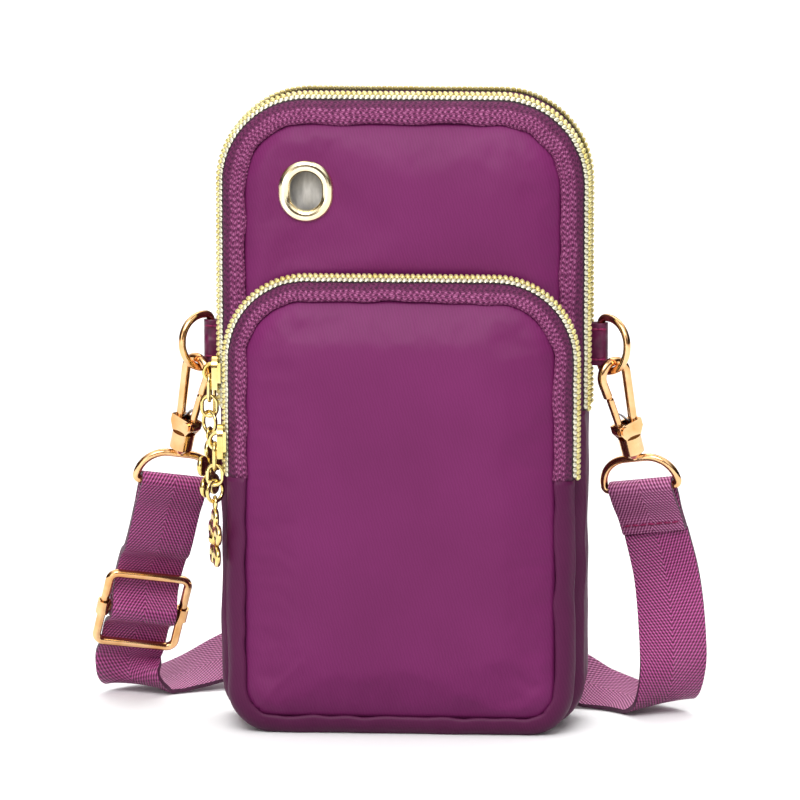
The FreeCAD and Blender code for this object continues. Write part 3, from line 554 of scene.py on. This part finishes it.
def trimmed_grid(name, form, inset, keep):
    """Fine upright grid, trimmed to an outline with its edge drawn onto it, and to what keep allows."""
    half, height, _, _ = form
    wide, tall = 2 * (half - inset), height - 2 * inset
    bpy.ops.object.select_all(action="DESELECT")
    bpy.ops.mesh.primitive_grid_add(x_subdivisions=round(wide / CELL), y_subdivisions=round(tall / CELL),
                                    size=1, rotation=(math.pi / 2, 0, 0))
    piece = bpy.context.object
    piece.name = piece.data.name = name
    piece.data.transform(Matrix.Translation((0, 0, height / 2)) @ Matrix.Diagonal((wide, 1, tall, 1))
                         @ piece.matrix_world)
    piece.matrix_world = Matrix.Identity(4)
    bpy.ops.object.mode_set(mode="EDIT")
    mesh = bmesh.from_edit_mesh(piece.data)
    for vertex in mesh.verts:
        depth = rim_depth(form, inset, vertex.co.x, vertex.co.z)[0]
        vertex.select_set(depth < TRIM_MARGIN or not keep(vertex.co.x, vertex.co.z))
    mesh.select_flush_mode()
    bpy.ops.mesh.delete(type="VERT")
    bpy.ops.mesh.delete_loose()
    mesh = bmesh.from_edit_mesh(piece.data)
    for vertex in mesh.verts:
        depth, nx, nz = rim_depth(form, inset, vertex.co.x, vertex.co.z)
        if vertex.is_boundary and depth < EDGE_REACH:
            vertex.co.x += nx * depth
            vertex.co.z += nz * depth
    bmesh.update_edit_mesh(piece.data)
    bpy.ops.object.mode_set(mode="OBJECT")
    piece.data.shade_smooth()
    return piece


def swell(piece, pinned):
    """Cloth pressure fills out a panel that is held at its edge; its spare cloth puckers along the seam."""
    start = [vertex.co.copy() for vertex in piece.data.vertices]
    piece.vertex_groups.new(name="sewn").add(pinned, 1.0, "REPLACE")
    cloth = piece.modifiers.new("Cloth", "CLOTH")
    cloth.collision_settings.use_collision = False
    settings = cloth.settings
    settings.quality = 6
    settings.mass = 0.1
    settings.tension_stiffness = 20
    settings.compression_stiffness = 20
    settings.shear_stiffness = 8
    settings.bending_stiffness = 0.02
    settings.vertex_group_mass = "sewn"
    settings.shrink_min = -SPARE_CLOTH
    settings.use_pressure = True
    settings.uniform_pressure_force = 1.0
    settings.effector_weights.gravity = 0
    for step in range(1, SWELL_FRAMES + 1):
        bpy.context.scene.frame_set(step)
    apply_all(piece)
    bpy.context.scene.frame_set(1)
    piece.vertex_groups.clear()
    for vertex, place in zip(piece.data.vertices, start):
        moved = vertex.co - place
        if moved.length > SWELL_CAP:
            vertex.co = place + moved * (SWELL_CAP / moved.length)


def panel(name, form, inset, seam_y, face_y, materials, keep=lambda x, z: True, grip=lambda x, z: False,
          free=lambda x, z: 1.0):
    """Padded panel, sewn in behind its seam and filled out past its face where it is free to."""
    piece = trimmed_grid(name, form, inset, keep)
    rise = face_y - seam_y
    out = math.copysign(1, rise)
    pinned = []
    for vertex in piece.data.vertices:
        x, _, z = vertex.co
        depth, nx, nz = rim_depth(form, inset, x, z)
        depth = max(0.0, depth)
        filled = 1 - math.exp(-depth / SWELL_RUN)
        edge = Vector((x + nx * depth, seam_y, z + nz * depth))
        drawn = abs(noise.noise(edge / PUCKER_PITCH)) * math.exp(-depth / PUCKER_RUN)
        drawn *= min(1.0, depth / CELL)
        belly = CROWN * (1 - math.exp(-depth / CROWN_RUN)) * free(x, z)
        proud = belly - SEAM_TUCK - PUCKER_DEPTH * drawn
        vertex.co.y = seam_y + (rise + out * SEAM_TUCK) * filled + out * proud
        if depth < SEWN_REACH or grip(x, z):
            pinned.append(vertex.index)
    if out > 0:
        piece.data.flip_normals()
    swell(piece, pinned)
    refine(piece)
    for material in materials:
        piece.data.materials.append(material)
    thicken(piece, PANEL_CLOTH, -1, True)
    return piece


front = panel("front_panel_cloth", BODY, BODY_ROLL - PANEL_LAP, MAIN_FRONT, FRONT_FACE, [TWILL, LINING],
              keep=lambda x, z: eyelet_distance(x, z) > EYELET_CUT,
              grip=lambda x, z: eyelet_distance(x, z) < EYELET_GRIP, free=clear_of_pocket)
bend_piece(front, "main_leaf", BODY_FOLD, "nylon_twill", "front_panel_lower", "front_panel_upper")
back = panel("back_panel_cloth", BODY, BODY_ROLL - PANEL_LAP, REAR_BACK, BACK_FACE, [TWILL, LINING])
bend_piece(back, "rear_leaf", BODY_FOLD, "nylon_twill", "back_panel_lower", "back_panel_upper")
pocket = panel("pocket_panel_cloth", POCKET, POCKET_ROLL - PANEL_LAP, POCKET_FRONT, POCKET_FACE,
               [TWILL, LINING])
bend_piece(pocket, "pocket_leaf", POCKET_FOLD, "nylon_twill", "pocket_panel_lower", "pocket_panel_upper")


# Lining between the compartments
LINING_CLOTH = 1.0 * MM
LINING_SLACK = 11 * MM
LINING_SLACK_RUN = 20 * MM
LINING_HELD_RUN = 6 * MM
CREASE = 0.6 * MM
CREASE_WIDE = 14 * MM
CREASE_TALL = 30 * MM


def divider():
    """Creased lining between main and rear compartment, so slack that it bellies to the eyelet."""
    piece = trimmed_grid("middle_panel_cloth", BODY, BODY_DIP + WALL / 2, lambda x, z: True)
    for vertex in piece.data.vertices:
        x, _, z = vertex.co
        crease = CREASE * noise.noise(Vector((x / CREASE_WIDE, 0.0, z / CREASE_TALL)))
        near = math.exp(-(eyelet_distance(x, z) / LINING_SLACK_RUN) ** 2)
        inside = max(0.0, rim_depth(BODY, BODY_DIP, x, z)[0])
        held = 1 - math.exp(-inside / LINING_HELD_RUN)
        vertex.co.y = MIDDLE + crease - LINING_SLACK * near * held
    piece.data.materials.append(LINING)
    thicken(piece, LINING_CLOTH, 0, False)
    finish_piece(piece, "pouch", "lining", "middle_panel")


divider()


# Zip chains
COIL_PITCH = 1.5 * MM
COIL_ALONG = 1.75 * MM
COIL_ACROSS = 2.1 * MM
COIL_PROUD = 1.5 * MM
COIL_SLANT = math.radians(24)
COIL_MIDDLE = 0.9 * MM
COIL_LEAN = math.radians(35)
COIL_TAPER = 0.3
COIL_STAGGER = 0.25


def small_ball(segments, rings, rotation):
    """Coarse smooth ball of unit size with its poles turned, to be drawn out to a bead or a stitch."""
    bpy.ops.object.select_all(action="DESELECT")
    bpy.ops.mesh.primitive_uv_sphere_add(segments=segments, ring_count=rings, radius=0.5, rotation=rotation)
    ball = bpy.context.object
    bpy.ops.object.transform_apply(rotation=True)
    ball.data.shade_smooth()
    return ball


def coil_turn():
    """One turn of a zip coil: a bead drawn out across the chain and thinner towards the tape."""
    turn = small_ball(8, 6, (math.pi / 2, 0, 0))
    for vertex in turn.data.vertices:
        taper = 1 - COIL_TAPER * (vertex.co.y + 0.5)
        vertex.co.x *= COIL_ALONG * taper
        vertex.co.z *= COIL_PROUD * taper
        vertex.co.y *= COIL_ACROSS
    return turn


def copies(name, shape, places, material):
    """One mesh with a copy of a small shape at each place."""
    joined = bmesh.new()
    for place in places:
        copy = shape.data.copy()
        copy.transform(place)
        joined.from_mesh(copy)
        bpy.data.meshes.remove(copy)
    bmesh.ops.recalc_face_normals(joined, faces=joined.faces)
    mesh = bpy.data.meshes.new(name)
    joined.to_mesh(mesh)
    joined.free()
    mesh.materials.append(material)
    piece = bpy.data.objects.new(name, mesh)
    bpy.context.scene.collection.objects.link(piece)
    return piece


def coil_row(name, turn, form, s_range, chain, way, row, material):
    """One row of a chain that leans to its leaf; way points to the fixed side, row is -1 on the leaf."""
    fixed = Vector((0, way, 0))
    places = []
    count = int((s_range[1] - s_range[0]) / COIL_PITCH)
    pitch = (s_range[1] - s_range[0]) / count
    for k in range(count):
        x, z, nx, nz = rim_at(form, s_range[0] + (k + 0.5 + COIL_STAGGER * row) * pitch)
        along, out = Vector((nz, 0, -nx)), Vector((nx, 0, nz))
        across = fixed * math.cos(COIL_LEAN) + out * math.sin(COIL_LEAN)
        face = out * math.cos(COIL_LEAN) - fixed * math.sin(COIL_LEAN)
        axes = Matrix((along, across * row, face)).transposed().to_4x4()
        spot = Matrix.Translation(Vector((x, chain, z)) + out * ROW_LIFT + across * (row * COIL_MIDDLE))
        places.append(spot @ axes @ Matrix.Rotation(COIL_SLANT, 4, "Z"))
    return copies(name, turn, places, material)


turn = coil_turn()
for name, (form, leaf_y, chain, fixed_y, _, _, zip_end, fold) in COMPARTMENTS.items():
    way = math.copysign(1, fixed_y - leaf_y)
    zip_range = zip_reach(form, zip_end)
    piece = coil_row(name + "_leaf_coil", turn, form, zip_range, chain, way, -1,
                     COIL if name == "rear" else SILVER_COIL)
    bend_piece(piece, name + "_leaf", fold, "zip_teeth", name + "_teeth_leaf")
    piece = coil_row(name + "_fixed_coil", turn, form, zip_range, chain, way, 1, COIL)
    finish_piece(piece, "pouch", "zip_teeth", name + "_teeth_fixed")
bpy.data.objects.remove(turn)


# Sewing thread: a stitch's length, width and height
STITCH_SIZE = (2.2 * MM, 0.75 * MM, 0.6 * MM)


def stitch_shape():
    """One stitch: a thread drawn tight at both ends."""
    stitch = small_ball(6, 5, (0, math.pi / 2, 0))
    stitch.data.transform(Matrix.Diagonal((*STITCH_SIZE, 1)))
    return stitch


def stitch_place(point, along, out):
    """Place of a stitch that lies along one way and faces out another."""
    along = along.normalized()
    side = out.cross(along).normalized()
    return Matrix.Translation(point) @ Matrix((along, side, along.cross(side))).transposed().to_4x4()


# Side tabs
TAB_RIBBON = 0.9 * MM
TAB_CLOTH = 0.8 * TAB_RIBBON
TAB_BELLY = 0.7
TAB_TURNS = 10
TAB_COLUMNS = 14
TAB_RUCK = 0.8 * MM
TAB_RUCK_RUN = 4 * MM
TAB_RUCK_RISE = 2.2 * MM
STITCHED_ROWS = 4
STITCHED_COLUMNS = (2, TAB_COLUMNS - 2)
stitch = stitch_shape()


def tab(side):
    """Satin ribbon folded round the D-ring's bar and sewn into the side seam."""
    node = side + "_tab"
    low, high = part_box(node)
    out = -1 if side == "left" else 1
    root = high.x if side == "left" else low.x
    tip = low.x if side == "left" else high.x
    middle = (low.y + high.y) / 2
    bend = (high.y - low.y) / 2 - TAB_RIBBON / 2
    centre = tip - out * (bend + TAB_RIBBON / 2)
    line = [(root, -TAB_RIBBON / 2), ((root + centre) / 2, -TAB_BELLY * bend)]
    for k in range(TAB_TURNS + 1):
        angle = math.pi * k / TAB_TURNS - math.pi / 2
        line.append((centre + out * bend * math.cos(angle), bend * math.sin(angle)))
    line += [((root + centre) / 2, TAB_BELLY * bend), (root, TAB_RIBBON / 2)]
    rows, flat, along = [], [], 0.0
    for k, (x, y) in enumerate(line):
        if k:
            along += math.dist(line[k - 1], (x, y))
        row, uv = [], []
        for c in range(TAB_COLUMNS + 1):
            z = low.z + (high.z - low.z) * c / TAB_COLUMNS
            ruck = noise.noise(Vector((x / TAB_RUCK_RUN, y / TAB_RUCK_RUN, z / TAB_RUCK_RISE))) * TAB_RUCK
            row.append(Vector((x, middle + y + ruck * (0 < k < len(line) - 1), z)))
            uv.append((along, z - low.z))
        rows.append(row)
        flat.append(uv)
    places = []
    for c in STITCHED_COLUMNS:
        for first, second in zip(rows[:STITCHED_ROWS], rows[1:]):
            spot = (first[c] + second[c]) / 2 - Vector((0, TAB_RIBBON / 2, 0))
            places.append(stitch_place(spot, second[c] - first[c], Vector((0, -1, 0))))
    finish_piece(copies(node + "_stitches", stitch, places, THREAD), "pouch", "ribbon")
    piece = cloth_grid(node + "_ribbon", rows, flat, [RIBBON])
    refine(piece)
    thicken(piece, TAB_CLOTH, 0, False)
    finish_piece(piece, "pouch", "ribbon", node)


tab("left")
tab("right")


# Strap: its places come from the joints of the left hook and the strap slider
STRAP_WIDTH = 19.0 * MM
STRAP_THICKNESS = 1.2 * MM
STRAP_BEVEL = 0.25 * MM
STRAP_COLUMNS = 8
LAYER_GAP = 0.2 * MM
EYE_WIRE = 1.1 * MM
EYE_TURN = math.radians(55)
EYE_BELOW_LINK = 36.8 * MM
FRAME_WIRE = 1.2 * MM
FRAME_HEIGHT = 23.3 * MM
ADJUST_DROP = 44.0 * MM
ADJUST_LEAD = 9.6 * MM
FRAME_PLAY = 5.5 * MM
END_FLAP = 14.5 * MM
FOLD_RUNS = 6
FOLD_STEPS = 10
FOLD_LENGTH = 115.0 * MM
FOLD_RADIUS = 6.2 * MM
FOLD_CLEAR = 11.5 * MM
FOLD_LEAD_OUT = 5.5 * MM
FOLD_LEAD_BACK = 7.5 * MM
LEFT_ENTRY = 37.0 * MM
LEFT_LEAD_DOWN = 4.5 * MM
LEFT_LEAD_BACK = 1.2 * MM
LOOP_STEPS = 4
RUN_STEPS = 10
FLOOR_GAP = 0.4 * MM
CLEARANCE = 0.3 * MM
TINY = 1e-9
# Turns of the webbing in degrees: round an eye, over the slider's bar and round it
EYE_ARC = (75, 285)
OVER_ARC = (60, 120)
BAR_ARC = (-90, 90)
ALONG = Vector((0, 1, 0))
UP = Vector((0, 0, 1))
# Outer face, inner face and edge; the back-face webbing is painted lighter, as painted light falling on it
FRONT_FIRST = [WEBBING, WEBBING_BACK_PAINTED_LIGHTER, SELVEDGE]
BACK_FIRST = [WEBBING_BACK_PAINTED_LIGHTER, WEBBING, SELVEDGE]

joints = {joint["name"]: joint for joint in frame["joints"]}
hook_up = Vector(joints["left_hook_swivel"]["axis"])
hook_y = -Vector(joints["left_gate_press"]["axis"])
hook_x = hook_y.cross(hook_up)
eye_bar = Vector(joints["left_hook_swivel"]["pos_m"]) - hook_up * EYE_BELOW_LINK
left_across = hook_x * math.cos(EYE_TURN) + hook_y * math.sin(EYE_TURN)
left_drop = Vector(joints["strap_slider_travel"]["axis"])
left_front = left_drop.cross(left_across)
if left_front.y > 0:
    left_front = -left_front


def flip(vector):
    """The same place or way on the pouch's other side."""
    return Vector((-vector.x, vector.y, vector.z))


def smooth_line(points, steps):
    """Points of a centripetal Catmull-Rom curve through the given points, ends included."""
    padded = [points[0] * 2 - points[1]] + points + [points[-1] * 2 - points[-2]]
    line = []
    for a, b, c, d in zip(padded, padded[1:], padded[2:], padded[3:]):
        ab, bc, cd = [math.sqrt(max((q - p).length, TINY)) for p, q in ((a, b), (b, c), (c, d))]
        leave = c - b + ((b - a) / ab - (c - a) / (ab + bc)) * bc
        arrive = c - b + ((d - c) / cd - (d - b) / (bc + cd)) * bc
        for step in range(steps):
            t = step / steps
            line.append(b * (2 * t ** 3 - 3 * t ** 2 + 1) + leave * (t ** 3 - 2 * t ** 2 + t)
                        + c * (3 * t ** 2 - 2 * t ** 3) + arrive * (t ** 3 - t ** 2))
    return line + [points[-1]]


def strap_piece(name, line, widths, faces, start=None, end=None):
    """Webbing along a line, with its two faces; U runs along it and V across it from the middle."""
    last = len(line) - 1
    rows, flat, along = [], [], 0.0
    for index, (point, width) in enumerate(zip(line, widths)):
        tangent = line[min(index + 1, last)] - line[max(index - 1, 0)]
        if index == 0 and start:
            tangent = start.copy()
        if index == last and end:
            tangent = end.copy()
        tangent.normalize()
        across = (width - tangent * width.dot(tangent)).normalized()
        reach = STRAP_WIDTH / 2 * abs(across.z) + STRAP_THICKNESS / 2 * abs(tangent.cross(across).z)
        middle = point + Vector((0, 0, max(0.0, FLOOR_GAP - (point.z - reach))))
        if index:
            along += (point - line[index - 1]).length
        offsets = [STRAP_WIDTH * (c / STRAP_COLUMNS - 0.5) for c in range(STRAP_COLUMNS + 1)]
        rows.append([middle + across * offset for offset in offsets])
        flat.append([(along, offset) for offset in offsets])
    piece = cloth_grid(name, rows, flat, faces)
    thicken(piece, STRAP_THICKNESS, 0, True, True)
    edges = piece.modifiers.new("Bevel", "BEVEL")
    edges.width = STRAP_BEVEL
    edges.segments = 2
    edges.limit_method = "ANGLE"
    apply_all(piece)
    return piece


def bar_wrap(centre, radius, start, end, steps=12):
    """Points of a turn round a bar, in (drop, front) coordinates."""
    turns = [math.radians(start + (end - start) * k / steps) for k in range(steps + 1)]
    return [(centre + radius * math.cos(t), radius * math.sin(t)) for t in turns]


def lay(profile, origin, drop, front):
    """Places a profile of (drop, front) coordinates."""
    return [origin + drop * s + front * q for s, q in profile]


# Round an eye, with both layers drawn together below it
half_layer = (STRAP_THICKNESS + LAYER_GAP) / 2
eye_wrap = EYE_WIRE + LAYER_GAP + STRAP_THICKNESS / 2
close, near, far = 0.85 * eye_wrap, 2.2 * eye_wrap, 4.5 * eye_wrap
round_eye = [(far, half_layer), (near, close), *bar_wrap(0, eye_wrap, *EYE_ARC),
             (near, -close), (far, -half_layer)]

# End loop, sewn round the right eye
right_bar, right_drop, right_front = flip(eye_bar), flip(left_drop), flip(left_front)
right_across = -flip(left_across)
end_profile = [(END_FLAP, half_layer), *round_eye, (END_FLAP, -half_layer)]
end_line = lay(end_profile, right_bar, right_drop, right_front)

# Adjusting loop: from the frame's foot over its bar, round the left eye, and back down round the bar
bar_radius = FRAME_WIRE + LAYER_GAP + STRAP_THICKNESS / 2
over_radius = bar_radius + STRAP_THICKNESS + LAYER_GAP
behind = FRAME_WIRE + CLEARANCE + STRAP_THICKNESS / 2
rear_layer = behind + STRAP_THICKNESS + LAYER_GAP
frame_top = ADJUST_DROP - FRAME_HEIGHT / 2
frame_foot = ADJUST_DROP + FRAME_HEIGHT / 2
adjust_profile = [
    (frame_foot + 2 * FRAME_WIRE, -behind), (frame_foot, -behind), (frame_foot - FRAME_PLAY, -behind),
    *bar_wrap(ADJUST_DROP, over_radius, *OVER_ARC, steps=6),
    (frame_top + FRAME_PLAY, -behind), (frame_top - FRAME_PLAY, -behind),
    (frame_top - ADJUST_LEAD, half_layer), *round_eye, (frame_top - ADJUST_LEAD, -half_layer),
    (frame_top - FRAME_PLAY, -rear_layer), (ADJUST_DROP - 2 * bar_radius, -rear_layer),
    *bar_wrap(ADJUST_DROP, bar_radius, *BAR_ARC),
    (ADJUST_DROP - 1.1 * bar_radius, 0.5 * bar_radius),
]
adjust_line = lay(adjust_profile, eye_bar, left_drop, left_front)

# Spare length in folds on its edge behind the pouch
fold_z = STRAP_WIDTH / 2 + FLOOR_GAP
fold_front = BACK_FACE + FOLD_CLEAR
fold_x = FOLD_RADIUS * (FOLD_RUNS - 1)
fold_line = []
for run in range(FOLD_RUNS):
    x = fold_x - run * 2 * FOLD_RADIUS
    near_end = fold_front if run < FOLD_RUNS - 1 else fold_front + LEFT_ENTRY
    ends = [near_end, fold_front + FOLD_LENGTH]
    if run % 2:
        ends.reverse()
    fold_line += [Vector((x, ends[0] + (ends[1] - ends[0]) * k / FOLD_STEPS, fold_z))
                  for k in range(FOLD_STEPS + 1)]
    if run < FOLD_RUNS - 1:
        out = -1 if run % 2 else 1
        for k in range(1, FOLD_STEPS):
            angle = math.pi * k / FOLD_STEPS
            fold_line.append(Vector((x - FOLD_RADIUS * (1 - math.cos(angle)),
                                     ends[1] + out * FOLD_RADIUS * math.sin(angle), fold_z)))

# Runs from the hooks to the folds: points out from the pouch's side, back from its middle and up, in
# millimetres, and the way across the webbing at each as it turns on edge
RIGHT_RUN = [(22.5, 12.5, 40.0), (24.3, 8.0, 25.0), (24.5, 6.5, 14.0), (22.5, 9.5, 5.5), (18.0, 15.5, 2.4),
             (11.5, 22.0, 2.4), (3.0, 26.0, 4.5), (-6.0, 27.0, 8.0)]
RIGHT_TURN = [(0.95, -0.2, 0.12), (0.96, 0, 0.1), (0.93, 0.25, 0.1), (0.9, 0.35, 0.1), (0.8, 0.55, 0.15),
              (0.55, 0.75, 0.2), (0.3, 0.85, 0.4), (0.15, 0.7, 0.7), (0, 0.4, 0.9)]
LEFT_RUN = [(30.2, 32.6, 4.6), (25.5, 38.5, 2.2), (15.5, 45.0, 4.0), (4.0, 50.5, 7.8), (-8.0, 56.5, 9.3)]
LEFT_TURN = [(0.88, -0.45, 0.13), (0.7, -0.7, -0.1), (0.45, -0.85, -0.25), (0.3, -0.8, -0.5),
             (0.1, -0.5, -0.85)]
right_points = [
    end_line[-1],
    *[Vector((HALF_WIDTH + out * MM, MIDDLE + back * MM, up * MM)) for out, back, up in RIGHT_RUN],
    Vector((fold_x + FOLD_LEAD_OUT, BACK_FACE + FOLD_LEAD_BACK, fold_z)),
    fold_line[0],
]
right_widths = [right_across, *[Vector(way) for way in RIGHT_TURN], UP]
left_points = [
    adjust_line[0],
    adjust_line[0] + left_drop * LEFT_LEAD_DOWN - left_front * LEFT_LEAD_BACK,
    *[Vector((-HALF_WIDTH - out * MM, MIDDLE + back * MM, up * MM)) for out, back, up in LEFT_RUN],
    fold_line[-1],
]
left_widths = [left_across, left_across, *[Vector(way) for way in LEFT_TURN], -UP]

fine_end = smooth_line(end_line, LOOP_STEPS)
piece = strap_piece("strap_end_webbing", fine_end, [right_across] * len(fine_end),
                    BACK_FIRST)
finish_piece(piece, "pouch", "webbing", "strap_end_loop")
piece = strap_piece("strap_right_webbing", smooth_line(right_points, RUN_STEPS),
                    smooth_line(right_widths, RUN_STEPS), BACK_FIRST,
                    right_drop, ALONG)
finish_piece(piece, "pouch", "webbing", "strap_right_run")
piece = strap_piece("strap_folds_webbing", fold_line, [UP] * len(fold_line), BACK_FIRST)
finish_piece(piece, "pouch", "webbing", "strap_folds")

fine_adjust = smooth_line(adjust_line, LOOP_STEPS)
piece = strap_piece("strap_adjust_webbing", fine_adjust, [left_across] * len(fine_adjust),
                    FRONT_FIRST)
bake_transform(piece)
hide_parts("strap_adjust_loop")
piece = strap_piece("strap_left_webbing", smooth_line(left_points, RUN_STEPS),
                    smooth_line(left_widths, RUN_STEPS), BACK_FIRST,
                    left_drop, ALONG)
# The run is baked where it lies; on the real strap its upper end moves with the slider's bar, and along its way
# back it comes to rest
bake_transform(piece)
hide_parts("strap_left_run")


# Stitching across the sewn end of the strap
SEWN_DROP = 11.5 * MM
END_STITCHES = 7
END_STITCH_PITCH = 2.4 * MM
END_STITCH_SLANT = 0.12
THREAD_PROUD = 0.1 * MM
sewn_front = half_layer + STRAP_THICKNESS / 2 + THREAD_PROUD
places = []
for k in range(END_STITCHES):
    offset = right_across * ((k - (END_STITCHES - 1) / 2) * END_STITCH_PITCH)
    spot = right_bar + right_drop * SEWN_DROP + right_front * sewn_front + offset
    slant = END_STITCH_SLANT if k % 2 else -END_STITCH_SLANT
    places.append(stitch_place(spot, right_across + right_drop * slant, right_front))
finish_piece(copies("strap_end_stitches", stitch, places, THREAD), "pouch", "webbing")
bpy.data.objects.remove(stitch)


# Hardware takes its plate
def repaint(slot, material, starts=("",)):
    """Gives a material to the nodes of a slot, or to those whose names start so."""
    for row in frame["record"]["subparts"]:
        if row["material_slot"] == slot and row["node"].startswith(starts):
            mesh = frame["nodes"][row["node"]].data
            mesh.materials.clear()
            mesh.materials.append(material)


repaint("gold_metal", GOLD)
repaint("gold_metal", YELLOW_GOLD, ("main_", "pocket_", "rear_"))
repaint("gold_metal", PALE_GOLD, ("eyelet_",))
repaint("spring_steel", STEEL)


# Floor, light and camera
FLOOR_SIZE = 14
FLOOR_BACK = 3
TENT = 2.4
BACKDROP = 1.02
AIM = Vector((0, 0, 90 * MM))


def set_stage():
    """Wide paper floor under the pouch and far behind it."""
    bpy.ops.object.select_all(action="DESELECT")
    bpy.ops.mesh.primitive_plane_add(size=FLOOR_SIZE, location=(0, FLOOR_BACK, 0))
    floor = bpy.context.object
    floor.name = "floor"
    floor.data.materials.append(paper_floor())


def set_light():
    """White tent light from above, dark flags at the sides, and soft boxes at the front and behind."""
    world = bpy.data.worlds.new("studio")
    bpy.context.scene.world = world
    world.use_nodes = True
    tree = world.node_tree
    sky = tree.nodes["Background"]
    way = add(tree, "TexCoord")
    axes = add(tree, "SeparateXYZ", {"Vector": (way, "Generated")})
    level = add(tree, "MapRange", {"Value": (axes, "Z"), "From Min": -1.0, "From Max": 1.0})
    tent = ramp(tree, (level, "Result"), (0.0, "#dcdcdc"), (0.45, "#9f958a"), (0.58, "#32261c"),
                (0.72, "#dcdcdc"))
    turn = add(tree, "MapRange", {"Value": (axes, "X"), "From Min": -1.0, "From Max": 1.0})
    flags = ramp(tree, (turn, "Result"), (0.1, "#503c2c"), (0.3, "#ffffff"), (0.45, "#e8e0d8"),
                 (0.55, "#48362a"), (0.72, "#ffffff"), (0.9, "#30241a"))
    mirrored = add(tree, "Mix", {0: 1.0, 6: (tent, "Color"), 7: (flags, "Color")}, data_type="RGBA",
                   blend_type="MULTIPLY")
    height = ramp(tree, (level, "Result"), (0.5, "#808080"), (1.0, "#ffffff"))
    aside = add(tree, "Math", {0: (axes, "X")}, operation="ABSOLUTE")
    shade = ramp(tree, (aside, "Value"), (0.3, "#ffffff"), (0.65, "#303030"))
    soft = add(tree, "Mix", {0: 1.0, 6: (height, "Color"), 7: (shade, "Color")}, data_type="RGBA",
               blend_type="MULTIPLY")
    # The tent lights the cloth, its flags are mirrored in the metal, and behind it all stays plain white
    ray = add(tree, "LightPath")
    shone = add(tree, "Mix", {0: (ray, "Is Diffuse Ray"), 6: [1 / TENT] * 3 + [1], 7: (soft, 2)},
                data_type="RGBA")
    seen = add(tree, "Mix", {0: (ray, "Is Glossy Ray"), 6: (shone, 2), 7: (mirrored, 2)}, data_type="RGBA")
    tree.links.new(seen.outputs[2], sky.inputs["Color"])
    sky.inputs["Strength"].default_value = BACKDROP * TENT
    for name, place, size, watts in (
        ("key", (-0.1, -1.6, 1.5), 1.1, 25.5),
        ("fill", (-0.9, -1.5, 0.25), 0.9, 5),
        ("back", (0.2, 0.7, 1.8), 1.2, 8),
    ):
        bpy.ops.object.light_add(type="AREA", location=place)
        lamp = bpy.context.object
        lamp.name = name
        lamp.data.size = size
        lamp.data.energy = watts
        lamp.rotation_mode = "QUATERNION"
        lamp.rotation_quaternion = (AIM - Vector(place)).to_track_quat("-Z", "Y")


def set_camera():
    """Long lens a little to the right and above, as the photograph was taken."""
    azimuth, elevation, distance = math.radians(3.9), math.radians(8.3), 2.0
    back = Vector((math.sin(azimuth) * math.cos(elevation), -math.cos(azimuth) * math.cos(elevation),
                   math.sin(elevation)))
    turn = back.to_track_quat("Z", "Y")
    shift = Vector((-1.2 * MM, 2.3 * MM, 0))
    bpy.ops.object.camera_add(location=AIM + turn @ shift + back * distance)
    camera = bpy.context.object
    camera.rotation_mode = "QUATERNION"
    camera.rotation_quaternion = turn
    camera.data.lens = 320
    camera.data.sensor_width = 36
    camera.data.clip_start = 0.1
    camera.data.clip_end = 100
    bpy.context.scene.camera = camera
    bpy.context.scene.view_settings.view_transform = "Standard"


set_stage()
set_light()
set_camera()
